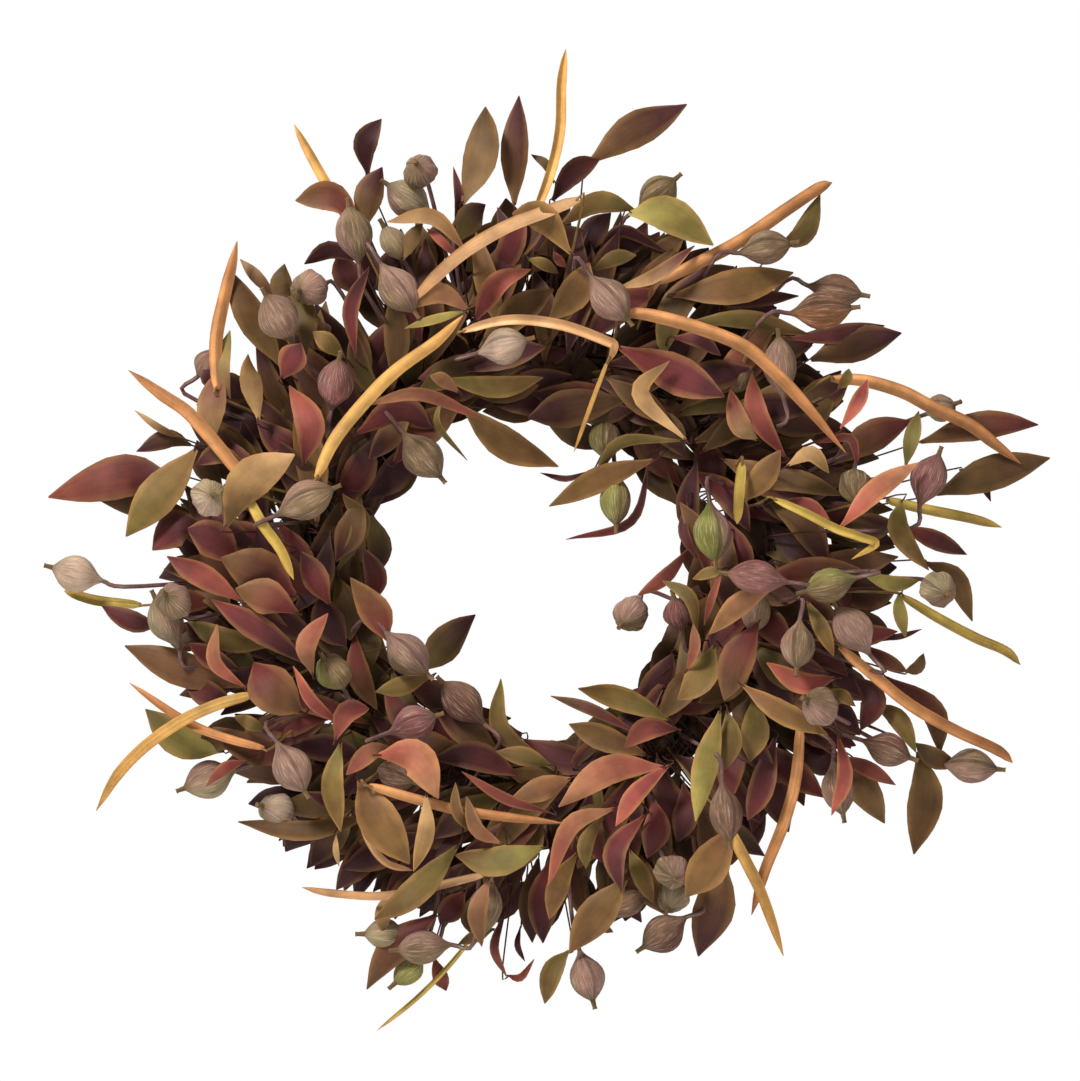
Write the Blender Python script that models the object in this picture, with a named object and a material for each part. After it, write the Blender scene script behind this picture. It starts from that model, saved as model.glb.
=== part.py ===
"""Harvest door wreath: sprays of leaves, pods and grass blades wired on to a ring of twisted vines.

Metres, +Z up. The wreath hangs as on a door: its front faces -Y and the door is behind it, towards +Y.
The origin is where a nail or hook carries the hanger, inside the top of its loop.
Places on the wreath's face are in millimetres from the ring's centre, to the right and up, for a
ring of LAYOUT_RADIUS, and they grow with the ring.
"""

import math

import bmesh
import bpy
from mathutils import Vector
from mathutils.bvhtree import BVHTree

MM = 0.001

# Driving dimensions, in millimetres and degrees
# The ring: its centreline, the one that the tables of places are drawn for, and the vines in it,
# which wind about a core vine on the centreline with a gap between their facets and its own.
RING_RADIUS = 150.0
LAYOUT_RADIUS = 150.0
VINE_RADIUS = 5.0
VINE_GAP = 0.9
CORE_VINE_RADIUS = 3.7
VINE_COUNT = 5
VINE_TWISTS = 3
# The gap between pieces that touch, the stems bound on the ring, and the wire that binds them
CLEARANCE = 0.4
STEM_RADIUS = 1.2
BINDING_WIRE_RADIUS = 0.55
SECTORS = 16
# The hanger: its wire, and its loop's width and height above the ring's centreline
HANGER_WIRE_RADIUS = 0.9
HANGER_LOOP_WIDTH = 22.0
HANGER_LOOP_RISE = 36.0
# Leaves, pods and what ends them
LEAF_THICKNESS = 2.0
NUB_RADIUS = 1.6
NUB_LENGTH = 5.0
POD_NECK_LENGTH = 5.0
SEAT_LENGTH = 3.0
# The body of foliage: thickest at this radius, thin this far inside and outside it
BODY_RADIUS = 190.0
BODY_HALF_WIDTH = 150.0
BODY_DEPTH = 82.0
EDGE_SHARE = 0.2
RIM_SETBACK = 12.0
LAYERS = 9

# What follows from them
VINE_CIRCLE = round(CORE_VINE_RADIUS + VINE_GAP + VINE_RADIUS, 3)
BUNDLE_RADIUS = VINE_CIRCLE + VINE_RADIUS
STEM_LANE = BUNDLE_RADIUS + CLEARANCE + STEM_RADIUS
BINDING_LANE = STEM_LANE + STEM_RADIUS + CLEARANCE + BINDING_WIRE_RADIUS
HANGER_LANE = BUNDLE_RADIUS + CLEARANCE + HANGER_WIRE_RADIUS
SCALE = RING_RADIUS / LAYOUT_RADIUS
SECTOR = 360.0 / SECTORS
RING_CENTRE = Vector((0, -HANGER_LANE, HANGER_WIRE_RADIUS - HANGER_LOOP_RISE - RING_RADIUS))
# The stems of each sector start where the binding wire has passed, and end under its next turn.
STEM_GAP = math.degrees(2 * (HANGER_WIRE_RADIUS + 3 * CLEARANCE) / RING_RADIUS)
UNDER_WIRE = 4.0
# The room kept free round a leaf, pod or stalk where it is put.
ROOM = 1.25 * CLEARANCE

# Pods: centre x, z; which way the stem leaves it (degrees, 0 right, 90 up); how far its far end
# leans to the front (degrees); diameter; body length; layer from 1 at the ring to 9 in front
PODS = [
    (-70, 260, -60, 70, 23, 27, 7), (-77, 242, -35, 10, 22, 32, 5), (-113, 217, -80, 10, 23, 36, 8),
    (-85, 184, 125, 5, 23, 34, 8), (-141, 184, 15, 60, 24, 27, 6), (-161, 163, -60, 20, 24, 30, 8),
    (-125, 120, -100, 25, 24, 32, 8), (-17, 145, 195, 10, 24, 29, 9), (-70, 76, 130, 0, 24, 32, 6),
    (-145, 44, 205, 5, 22, 34, 9), (-207, 47, 200, 75, 24, 27, 8), (-296, -3, -15, 5, 23, 31, 5),
    (-229, -21, -45, 60, 24, 28, 8), (-236, -35, -65, 10, 23, 34, 5), (-127, -68, -60, 40, 24, 30, 5),
    (-80, -54, 135, 5, 25, 34, 7), (-76, -101, 200, 5, 25, 29, 7), (-42, -88, -45, 0, 26, 30, 5),
    (-154, -127, 120, 10, 25, 34, 8), (-208, -137, 20, 5, 22, 33, 4), (-88, -134, 160, 30, 22, 30, 4),
    (-93, -239, 0, 10, 20, 27, 4), (-67, -246, 5, 5, 25, 31, 7), (-27, -219, 80, 15, 23, 38, 5),
    (38, -265, 105, 5, 23, 32, 6), (93, -196, 120, 70, 23, 27, 6), (90, -237, 35, 5, 23, 32, 5),
    (128, -155, 97, 5, 22, 36, 9), (234, -117, 160, 5, 23, 30, 6), (291, -130, 175, 5, 22, 34, 5),
    (203, -140, 100, 15, 24, 34, 5), (190, -89, -30, 45, 25, 28, 9), (175, -47, 85, 20, 22, 31, 9),
    (212, -40, -55, 5, 24, 34, 7), (267, -12, 150, 65, 24, 27, 7), (149, -5, -8, 5, 22, 36, 9),
    (197, -9, 15, 5, 23, 32, 8), (149, -29, 260, 30, 20, 32, 5), (120, 27, 95, 5, 23, 36, 8),
    (68, -28, 50, 50, 24, 28, 5), (99, -30, -75, 20, 19, 25, 4), (58, 50, 90, 10, 21, 30, 5),
    (52, 177, 130, 5, 24, 34, 9), (84, 246, 220, 10, 23, 29, 4), (154, 210, 190, 10, 23, 31, 7),
    (201, 184, 170, 5, 21, 32, 4), (190, 169, 185, 5, 24, 34, 8), (165, 131, -85, 5, 22, 38, 7),
    (213, 56, 90, 40, 23, 28, 7), (262, 58, -110, 5, 22, 32, 7),
]  # fmt: skip

# Grass blades: width, layer, then the places it passes from its foot to its tip
BLADES = [
    (8, 4, (2, 225), (15, 260), (22, 300), (25, 344)),
    (9, 8, (-70, 175), (-55, 188), (-30, 212), (5, 227), (36, 238)),
    (10, 9, (-136, 58), (-118, 90), (-95, 124), (-66, 152), (-42, 168)),
    (8, 7, (-38, 157), (-10, 163), (20, 160), (44, 152), (57, 144)),
    (9, 9, (66, 167), (100, 160), (140, 142), (175, 112), (206, 75)),
    (9, 5, (80, 190), (130, 215), (165, 238), (201, 256)),
    (9, 5, (205, 127), (240, 118), (280, 100), (305, 85), (327, 71)),
    (8, 4, (228, 46), (260, 42), (295, 36), (312, 28)),
    (7, 4, (235, -12), (252, -23), (280, -40), (305, -52), (326, -62)),
    (8, 6, (200, -48), (225, -68), (255, -92), (285, -112), (321, -128)),
    (8, 4, (180, -100), (178, -130), (170, -165), (157, -200), (146, -226)),
    (9, 6, (136, -170), (147, -200), (157, -227), (168, -253)),
    (8, 7, (-100, -143), (-60, -150), (-25, -157), (20, -163)),
    (8, 5, (-30, -200), (-50, -205), (-85, -212), (-120, -213), (-148, -209)),
    (4, 3, (-40, -247), (-60, -265), (-80, -285), (-100, -305)),
    (8, 7, (-180, -81), (-215, -96), (-250, -120), (-270, -140), (-285, -158)),
    (6, 4, (-170, -117), (-205, -105), (-235, -90), (-261, -73)),
    (6, 2, (-246, -25), (-262, -22), (-282, -19), (-306, -14)),
    (10, 6, (-190, 66), (-205, 92), (-235, 112), (-262, 131)),
    (9, 5, (-203, 122), (-204, 150), (-199, 185), (-191, 216)),
    (5, 3, (-128, 246), (-135, 258), (-144, 274), (-155, 295)),
]  # fmt: skip

# Leaves: foot x, z; middle x, z; tip x, z; width; layer
LEAVES = [
    (-42, 236, -30, 276, -27, 306, 24, 4), (-9, 240, -9, 278, -6, 312, 18, 5),
    (43, 264, 70, 292, 105, 308, 26, 5), (6, 234, 28, 254, 47, 270, 17, 4),
    (64, 238, 92, 230, 122, 211, 26, 6), (28, 206, 16, 224, -9, 232, 17, 8),
    (15, 165, 30, 183, 36, 206, 18, 6), (-35, 165, -27, 188, -15, 207, 20, 4),
    (-38, 168, -60, 174, -80, 170, 16, 8), (-42, 208, -62, 228, -93, 226, 14, 7),
    (-104, 258, -108, 284, -97, 298, 16, 3), (-104, 225, -110, 248, -96, 264, 16, 4),
    (-112, 228, -134, 246, -153, 243, 18, 5), (-160, 135, -182, 160, -195, 197, 24, 5),
    (-145, 145, -147, 168, -156, 188, 18, 5), (-113, 138, -113, 165, -100, 195, 12, 8),
    (-115, 138, -128, 148, -139, 155, 13, 6), (-140, 120, -146, 135, -152, 147, 18, 8),
    (-193, 112, -197, 135, -196, 158, 10, 6), (-205, 85, -208, 112, -198, 133, 20, 6),
    (-140, 70, -147, 95, -158, 118, 20, 8), (-240, 68, -272, 70, -316, 48, 28, 4),
    (-225, 35, -255, 42, -283, 46, 20, 3), (-215, 82, -240, 58, -262, 23, 22, 6),
    (-195, 32, -180, 56, -152, 76, 24, 9), (-215, 30, -235, 27, -246, 13, 18, 4),
    (-190, 5, -203, 22, -222, 27, 22, 5), (-190, 0, -212, 8, -236, 9, 14, 6),
    (-190, -78, -230, -65, -265, -50, 24, 4), (-238, -38, -257, -30, -282, -23, 14, 3),
    (-178, -55, -200, -40, -223, -35, 20, 5), (-184, -77, -202, -58, -202, -36, 9, 7),
    (-150, -28, -168, -14, -188, -5, 22, 6), (-132, 2, -116, -25, -95, -47, 18, 6),
    (-138, -68, -142, -50, -130, -28, 14, 8), (-148, -90, -166, -78, -172, -55, 24, 8),
    (-122, -98, -145, -74, -162, -60, 14, 8), (-126, -110, -116, -92, -103, -90, 16, 9),
    (-122, -85, -112, -68, -103, -57, 14, 5), (-200, -117, -228, -110, -253, -92, 19, 3),
    (-185, -125, -198, -130, -210, -142, 9, 6), (-122, -112, -128, -140, -122, -167, 14, 7),
    (-110, -162, -150, -170, -191, -166, 13, 5), (-108, -140, -88, -162, -72, -192, 22, 7),
    (-62, -148, -64, -170, -73, -195, 12, 8), (-107, -163, -97, -187, -72, -197, 7, 6),
    (-97, -120, -75, -128, -58, -150, 20, 9), (-85, -120, -68, -112, -57, -98, 20, 3),
    (10, -180, -20, -184, -47, -186, 20, 8), (-45, -185, -62, -208, -97, -231, 24, 7),
    (55, -158, 20, -170, 15, -212, 16, 8), (40, -160, 0, -168, -55, -166, 16, 4),
    (-40, -205, -50, -222, -42, -240, 22, 4), (-60, -225, -83, -248, -106, -276, 19, 5),
    (62, -198, 42, -222, 20, -255, 24, 7), (75, -160, 58, -180, 60, -210, 18, 7),
    (92, -128, 72, -145, 54, -163, 16, 8), (78, -132, 45, -137, 20, -153, 20, 7),
    (35, -132, 12, -142, -12, -150, 14, 6), (68, -105, 40, -90, 15, -82, 10, 6),
    (80, -120, 52, -110, 27, -101, 22, 5), (95, -92, 113, -68, 122, -42, 14, 6),
    (140, -85, 150, -102, 143, -124, 20, 6), (120, -92, 117, -125, 109, -163, 10, 8),
    (125, -160, 118, -185, 100, -215, 26, 7), (122, -190, 128, -215, 112, -254, 24, 5),
    (190, -107, 165, -86, 140, -74, 14, 8), (150, -58, 172, -76, 203, -68, 12, 8),
    (205, -110, 207, -135, 198, -158, 8, 7), (213, -135, 231, -143, 235, -167, 18, 4),
    (205, -115, 222, -132, 241, -140, 12, 6), (258, -120, 262, -152, 255, -188, 21, 4),
    (232, -70, 262, -85, 271, -122, 16, 4), (208, -55, 228, -80, 217, -105, 16, 5),
    (143, -40, 128, -60, 135, -83, 22, 7), (118, -45, 135, -25, 160, -17, 14, 8),
    (262, 5, 283, -8, 294, -34, 16, 4), (242, 45, 250, 15, 262, 0, 18, 7),
    (205, 30, 240, 28, 271, 20, 20, 4), (203, 28, 225, 55, 256, 70, 18, 9),
    (272, 50, 300, 66, 345, 75, 22, 4), (265, 83, 300, 94, 337, 97, 22, 5),
    (254, 75, 252, 90, 256, 105, 12, 7), (215, 80, 240, 92, 268, 98, 18, 4),
    (205, 97, 213, 112, 222, 125, 12, 9), (190, 130, 225, 142, 246, 155, 17, 4),
    (95, 175, 130, 186, 173, 195, 24, 5), (110, 160, 145, 161, 184, 153, 14, 6),
    (170, 213, 190, 226, 195, 248, 16, 4), (140, 50, 152, 63, 168, 74, 20, 8),
    (172, 78, 160, 95, 150, 120, 18, 6), (118, 45, 120, 70, 118, 95, 20, 5),
    (125, 112, 95, 125, 62, 138, 22, 7), (100, 85, 74, 112, 92, 138, 12, 8),
    (65, 118, 35, 108, 0, 100, 22, 4), (80, 70, 50, 62, 14, 41, 15, 5),
    (-42, 106, -12, 80, 35, 66, 19, 4), (-115, 90, -90, 102, -63, 93, 20, 4),
    (110, -35, 103, -18, 90, -8, 9, 6),
]  # fmt: skip


class Shell:
    """Corners and faces of one closed surface, added ring by ring."""

    def __init__(self):
        self.points = []
        self.faces = []

    def ring(self, corners):
        """Adds a ring of corners and gives their numbers."""
        first = len(self.points)
        self.points += corners
        return list(range(first, len(self.points)))

    def bridge(self, a, b):
        """Joins ring a to ring b. The rings may have different numbers of corners."""
        i = j = 0
        while i < len(a) or j < len(b):
            ends = a[i % len(a)], b[j % len(b)]
            step_a = (i + 1) * len(b)
            step_b = (j + 1) * len(a)
            if step_a == step_b:
                corner = b[(j + 1) % len(b)]
                self.faces.append((ends[0], a[(i + 1) % len(a)], corner))
                self.faces.append((ends[0], corner, ends[1]))
                i += 1
                j += 1
            elif step_a < step_b:
                self.faces.append((ends[0], a[(i + 1) % len(a)], ends[1]))
                i += 1
            else:
                self.faces.append((ends[0], b[(j + 1) % len(b)], ends[1]))
                j += 1

    def cap(self, ring):
        self.faces.append(tuple(ring))

    def joined(self, rings):
        """Joins the rings in order and closes the last one."""
        for a, b in zip(rings, rings[1:]):
            self.bridge(a, b)
        self.cap(rings[-1])

    def tree(self):
        return BVHTree.FromPolygons(self.points, self.faces)


def frame_at(angle):
    """Outward, round the ring and to the front, at an angle on the ring in degrees."""
    turn = math.radians(angle)
    outward = Vector((math.cos(turn), 0, math.sin(turn)))
    along = Vector((-math.sin(turn), 0, math.cos(turn)))
    return outward, along, Vector((0, -1, 0))


def on_bundle(angle, lane, distance):
    """A point this far from the ring's centreline; the lane goes from outward (0) to the front (90)."""
    outward, _, front = frame_at(angle)
    turn = math.radians(lane)
    away = outward * math.cos(turn) + front * math.sin(turn)
    return RING_CENTRE + outward * RING_RADIUS + away * distance


def regular(centre, u, v, radius, count, phase=0.0):
    """Corners of a regular polygon in the plane of u and v."""
    turns = [math.radians(phase + 360.0 * k / count) for k in range(count)]
    return [centre + u * (radius * math.cos(t)) + v * (radius * math.sin(t)) for t in turns]


def direction(path, k, loop):
    if loop:
        return (path[(k + 1) % len(path)] - path[k - 1]).normalized()
    return (path[min(k + 1, len(path) - 1)] - path[max(k - 1, 0)]).normalized()


def tube(path, radius, sides, loop=False, away=None):
    """A closed tube round a path; away holds a direction across the path for each of its points."""
    shell = Shell()
    rings = []
    for k, point in enumerate(path):
        ahead = direction(path, k, loop)
        hint = away[k] if away else Vector((0, -1, 0))
        u = hint.cross(ahead).normalized()
        rings.append(shell.ring(regular(point, u, ahead.cross(u), radius, sides)))
    if loop:
        for a, b in zip(rings, rings[1:] + rings[:1]):
            shell.bridge(a, b)
    else:
        shell.cap(rings[0][::-1])
        shell.joined(rings)
    return shell


def vine(number):
    """One of the vines, which wind round the core vine."""
    path = []
    for k in range(30):
        angle = 12.0 * k
        lane = 360.0 * number / VINE_COUNT + VINE_TWISTS * angle
        path.append(on_bundle(angle, lane, VINE_CIRCLE))
    return tube(path, VINE_RADIUS, 5, loop=True)


def core_vine():
    """The vine in the middle of the bundle."""
    path = [on_bundle(15.0 * k, 0, 0) for k in range(24)]
    return tube(path, CORE_VINE_RADIUS, 4, loop=True)


def sector_edge(sector):
    """The angle at which the binding wire crosses the front of the ring. A gap between stems is on top."""
    return 90.0 - UNDER_WIRE - STEM_GAP / 2 + SECTOR * sector


def binding_wire():
    """One wire, wound on all round the ring: once over the stems of each sector."""
    per_turn = 8
    steps = per_turn * SECTORS
    lane = BINDING_LANE / math.cos(math.pi / per_turn)
    path = []
    away = []
    for k in range(steps):
        angle = sector_edge(0) + 360.0 * k / steps
        path.append(on_bundle(angle, 90.0 + 360.0 * k / per_turn, lane))
        away.append((path[-1] - on_bundle(angle, 0, 0)).normalized())
    return tube(path, BINDING_WIRE_RADIUS, 4, loop=True, away=away)


def hanger_loop():
    """A wire belt that can turn round the whole bundle at the top, and the loop that stands on its back."""
    across = Vector((1, 0, 0))
    back = Vector((0, 1, 0))
    up = Vector((0, 0, 1))
    centre = RING_CENTRE + up * RING_RADIUS
    gap = 2.6 * HANGER_WIRE_RADIUS
    path = []
    away = []
    for k in range(25):
        turn = math.radians(12.0 + 336.0 * k / 24)
        away.append(back * math.cos(turn) + up * math.sin(turn))
        path.append(centre + across * (gap * (k / 24 - 0.5)) + away[-1] * HANGER_LANE)
    foot = centre + back * HANGER_LANE
    half = HANGER_LOOP_WIDTH / 2 - HANGER_WIRE_RADIUS
    middle = HANGER_LOOP_RISE - half * 1.15
    loop = [foot + across * (gap / 2) + up * (0.2 * HANGER_LOOP_RISE)]
    for k in range(15):
        turn = math.radians(-45.0 + 270.0 * k / 14)
        loop.append(foot + across * (half * math.cos(turn)) + up * (middle + 1.15 * half * math.sin(turn)))
    loop.append(foot - across * (gap / 2) + up * (0.2 * HANGER_LOOP_RISE))
    return tube(path + loop, HANGER_WIRE_RADIUS, 6, loop=True, away=away + [back] * len(loop))


def depth_at(place, layer):
    """How far in front of the ring's centreline a layer is: deepest over the ring, thin at both edges."""
    radius = math.hypot(*place) / SCALE
    share = min(1.0, abs(radius - BODY_RADIUS) / BODY_HALF_WIDTH)
    dome = EDGE_SHARE + (1.0 - EDGE_SHARE) * (1.0 - share**2)
    base = STEM_LANE + 3 * STEM_RADIUS - RIM_SETBACK * share**2
    return base + BODY_DEPTH * dome * layer / LAYERS


def point_at(place, layer, nudge):
    x, z = place[0] * SCALE, place[1] * SCALE
    return RING_CENTRE + nudge + Vector((x, -depth_at((x, z), layer), z))


def curve(points, t):
    """A smooth line through three or more points, for t from 0 to 1."""
    spans = len(points) - 1
    k = min(int(t * spans), spans - 1)
    u = t * spans - k
    before = points[max(k - 1, 0)]
    after = points[min(k + 2, spans)]
    a, b = points[k], points[k + 1]
    slope_a = (b - before) / 2
    slope_b = (after - a) / 2
    return (
        a * (2 * u**3 - 3 * u**2 + 1)
        + slope_a * (u**3 - 2 * u**2 + u)
        + b * (3 * u**2 - 2 * u**3)
        + slope_b * (u**3 - u**2)
    )


def flat_section(centre, ahead, tilt, width, thick):
    """Four corners across a leaf. Its flat side faces the front, tilted about its length."""
    side = ahead.cross(Vector((0, -1, 0))).normalized()
    face = side.cross(ahead).normalized()
    turn = math.radians(tilt)
    u = side * math.cos(turn) + face * math.sin(turn)
    v = face * math.cos(turn) - side * math.sin(turn)
    return [
        centre + u * (sx * width / 2) + v * (sz * thick / 2)
        for sx, sz in ((1, 1), (-1, 1), (-1, -1), (1, -1))
    ]


# Shares of a leaf's length, and of its width there
LEAF_SHAPE = ((0.0, 0.3), (0.32, 0.92), (0.68, 0.9), (1.0, 0.16))


def leaf_body(points, width, tilt, steps, grow):
    """Rings of a leaf or a blade along its points; steps holds shares of its length and of its width."""
    rings = []
    for share, part in steps:
        here = curve(points, share)
        ahead = (curve(points, min(1.0, share + 0.05)) - curve(points, max(0.0, share - 0.05))).normalized()
        rings.append(flat_section(here, ahead, tilt, width * part + 2 * grow, LEAF_THICKNESS + 2 * grow))
    rings[-1] = [corner + ahead * grow for corner in rings[-1]]
    return rings


def pod_axis(angle, lean):
    """The way from a pod's stem end to its far end."""
    turn, tip = math.radians(angle), math.radians(lean)
    flat = Vector((-math.cos(turn), 0, -math.sin(turn)))
    return flat * math.cos(tip) + Vector((0, -1, 0)) * math.sin(tip)


# Shares of a pod's length, and of its diameter there
POD_SHAPE = ((0.0, 0.2), (0.17, 0.66), (0.5, 1.0), (0.83, 0.68))


def pod_body(centre, axis, diameter, length, grow):
    """Rings of a pod from its neck to its nub; v keeps them turning the way a stalk's rings do."""
    u = axis.cross(Vector((0.3, 0.2, 1)) if abs(axis.z) < 0.8 else Vector((1, 0, 0.2))).normalized()
    v = u.cross(axis)
    foot = centre - axis * (length / 2 + POD_NECK_LENGTH)
    rings = [regular(foot, u, v, STEM_RADIUS + grow, 4)]
    for share, part in POD_SHAPE:
        here = centre + axis * (length * (share - 0.5))
        rings.append(regular(here, u, v, diameter * part / 2 + grow, 6))
    end = centre + axis * (length / 2)
    rings.append(regular(end, u, v, NUB_RADIUS + grow, 6))
    rings.append(regular(end + axis * (NUB_LENGTH + grow), u, v, NUB_RADIUS * 0.8 + grow, 6))
    return rings


def leaf_of(row, number, nudge, grow):
    x0, z0, x1, z1, x2, z2, width, layer = row
    points = [
        point_at((x0, z0), max(0.3, layer - 1.2), nudge),
        point_at((x1, z1), layer, nudge),
        point_at((x2, z2), layer - 0.4, nudge),
    ]
    tilt = 14.0 * math.sin(2.4 * number)
    return points[0], leaf_body(points, width * SCALE, tilt, LEAF_SHAPE, grow)


def blade_of(row, nudge, grow):
    width, layer, *places = row
    points = [point_at(place, layer, nudge) for place in places]
    last = len(points) - 1
    steps = [(k / last, 0.35 if k == 0 else 1.0) for k in range(last + 1)]
    steps[-1] = (1.0, 0.3)
    return points[0], leaf_body(points, width * SCALE, 0.0, steps, grow)


def pod_of(row, nudge, grow):
    x, z, angle, lean, diameter, length, layer = row
    axis = pod_axis(angle, lean)
    centre = point_at((x, z), layer, nudge)
    foot = centre - axis * (length * SCALE / 2 + POD_NECK_LENGTH)
    return foot, pod_body(centre, axis, diameter * SCALE, length * SCALE, grow)


def body_of(kind, row, number, nudge, grow):
    """(foot, rings) of an element, made wider all round by grow."""
    if kind == "leaf":
        return leaf_of(row, number, nudge, grow)
    if kind == "blade":
        return blade_of(row, nudge, grow)
    return pod_of(row, nudge, grow)


class Trunk:
    """The bound stem of one spray: a square bar along the ring, with a short seat for each thing on it."""

    def __init__(self, sector, lane, count):
        start = sector_edge(sector) + UNDER_WIRE + STEM_GAP
        end = start - STEM_GAP + SECTOR
        first = start + 1.5
        last = end - UNDER_WIRE - 3.0
        step = (last - first) / count
        self.seats = [first + step * (k + 0.5) for k in range(count)]
        reach = min(0.4 * step, math.degrees(SEAT_LENGTH / 2 / RING_RADIUS))
        self.stops = [start] + [seat + side for seat in self.seats for side in (-reach, reach)] + [end]
        self.lane = lane
        self.half = STEM_RADIUS / math.sqrt(2)

    def corners(self, angle):
        centre = on_bundle(angle, self.lane, STEM_LANE)
        away = (centre - on_bundle(angle, 0, 0)).normalized()
        side = frame_at(angle)[1].cross(away)
        return [centre + (away * a + side * b) * self.half for a, b in ((1, 1), (1, -1), (-1, -1), (-1, 1))]

    def seat(self, segment, face):
        """Middle and outward direction of a side face (0 away from the bundle, 1 and 3 sideways)."""
        angle = self.seats[segment]
        centre = on_bundle(angle, self.lane, STEM_LANE)
        away = (centre - on_bundle(angle, 0, 0)).normalized()
        side = frame_at(angle)[1].cross(away)
        out = {0: away, 1: -side, 3: side}[face]
        return centre + out * self.half, out

    def quad(self, segment, face):
        """The corners of a side face, in order."""
        a, b = (self.corners(self.stops[2 * segment + k]) for k in (1, 2))
        return [a[face], a[(face + 1) % 4], b[(face + 1) % 4], b[face]]


def square(centre, ahead, half):
    side = ahead.cross(Vector((0.11, -1, 0.07))).normalized()
    if abs(ahead.y) > 0.96:
        side = ahead.cross(Vector((1, 0, 0.1))).normalized()
    face = side.cross(ahead).normalized()
    return [centre + side * (a * half) + face * (b * half) for a, b in ((1, 1), (-1, 1), (-1, -1), (1, -1))]


def stalk_rings(seat, out, bend, foot, grow):
    """Square rings just outside the trunk and half-way to the foot."""
    half = STEM_RADIUS / math.sqrt(2) * 0.9 + grow
    collar = seat + out * (2 * STEM_RADIUS)
    way = foot - collar
    middle = collar + way * 0.5 + bend
    return [
        square(collar, (out + (middle - collar).normalized()).normalized(), half),
        square(middle, way.normalized(), half),
    ]


def aligned(ring, other):
    """The corners of other, started at the one that keeps the band to ring from twisting."""
    count = len(other)
    centre_a = sum(ring, Vector()) / len(ring)
    centre_b = sum(other, Vector()) / count
    turns = []
    for shift in range(count):
        moved = other[shift:] + other[:shift]
        picks = [moved[int(k * count / len(ring))] for k in range(len(ring))]
        turns.append((sum((ring[k] - centre_a).dot(picks[k] - centre_b) for k in range(len(ring))), shift))
    shift = max(turns)[1]
    return other[shift:] + other[:shift]


def chain(rings):
    """The same rings, each turned so that its corners follow on from the one before."""
    found = [rings[0]]
    for ring in rings[1:]:
        found.append(aligned(found[-1], ring))
    return found


def shell_of(rings, close_start=True):
    shell = Shell()
    numbers = [shell.ring(ring) for ring in rings]
    if close_start:
        shell.cap(numbers[0][::-1])
    shell.joined(numbers)
    return shell


def bends(seat, foot):
    """Ways for a stalk to go round what is in its way, the straightest first."""
    way = (foot - seat).normalized()
    u = way.cross(Vector((0.2, -1, 0.3))).normalized()
    v = way.cross(u)
    found = [Vector()]
    for reach in (7.0, 15.0, 25.0):
        for k in range(6):
            turn = math.radians(60.0 * k + 2.0 * reach)
            found.append((u * math.cos(turn) + v * math.sin(turn)) * reach)
    return found


def nudges():
    """Moves to try for an element, the smallest first; a move to the front costs less than one sideways."""
    found = []
    for ahead in range(-4, 17):
        for right in range(-2, 3):
            for up in range(-2, 3):
                move = Vector((6.0 * right, -2.5 * ahead, 6.0 * up))
                cost = abs(ahead) + 5 * (abs(right) + abs(up))
                found.append((cost, -ahead, right, up, move))
    return [item[-1] for item in sorted(found, key=lambda item: item[:4])]


def crosses_itself(shell):
    """True if two faces with no corner in common meet."""
    tree = shell.tree()
    return any(not set(shell.faces[a]) & set(shell.faces[b]) for a, b in tree.overlap(tree))


def turned(kind, row):
    """The row itself, and for a pod the same with its stem end turned aside by more and more."""
    if kind != "pod":
        return [row]
    x, z, angle, *rest = row
    return [(x, z, angle + side, *rest) for side in (0, 40, -40, 80, -80, 120, -120, 180)]


def settle(kind, row, number, trunk, segments, taken):
    """(segment, face, rings) of an element at the first place where it is clear of all that is there."""
    for nudge in nudges():
        for choice in turned(kind, row):
            _, wide_body = body_of(kind, choice, number, nudge, ROOM)
            if taken.hit(chain(wide_body)):
                continue
            foot, body = body_of(kind, choice, number, nudge, 0.0)
            found = stalk_to(foot, body, wide_body, trunk, segments, taken)
            if found:
                return found
    raise RuntimeError(f"no free place for {kind} {number}")


def stalk_to(foot, body, wide_body, trunk, segments, taken):
    """(segment, face, rings) with a stalk that reaches this body without meeting anything, or None."""
    for segment in segments[:4]:
        for face in (0, 1, 3):
            seat, out = trunk.seat(segment, face)
            quad = trunk.quad(segment, face)
            off_bar = [corner + out * ROOM for corner in quad]
            for bend in bends(seat, foot):
                wide = stalk_rings(seat, out, bend, foot, ROOM) + wide_body
                if taken.hit(chain([off_bar] + wide)):
                    continue
                rings = chain([quad] + stalk_rings(seat, out, bend, foot, 0.0) + body)
                # Only a pod's rings, which change from four corners to six, can fold a band on itself.
                if len(body[-1]) == 4 or not crosses_itself(shell_of(rings)):
                    return segment, face, rings
    return None


class Taken:
    """Everything already placed."""

    def __init__(self):
        self.points = []
        self.faces = []
        self.tree = None

    def add(self, shell):
        first = len(self.points)
        self.points += shell.points
        self.faces += [tuple(first + n for n in face) for face in shell.faces]
        self.tree = BVHTree.FromPolygons(self.points, self.faces)

    def hit(self, rings):
        return bool(self.tree.overlap(shell_of(rings).tree()))


def sector_of(place):
    """The sector that a place belongs to, counted from the top."""
    angle = math.degrees(math.atan2(place[1], place[0]))
    return int(((angle - sector_edge(0) - UNDER_WIRE / 2) % 360.0) // SECTOR)


def foot_place(kind, row):
    """Where an element's stalk meets it, on the wreath's face."""
    if kind == "leaf":
        return row[0], row[1]
    if kind == "blade":
        return row[2]
    turn = math.radians(row[2])
    reach = row[5] / 2 + POD_NECK_LENGTH
    return row[0] + reach * math.cos(turn), row[1] + reach * math.sin(turn)


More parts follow.
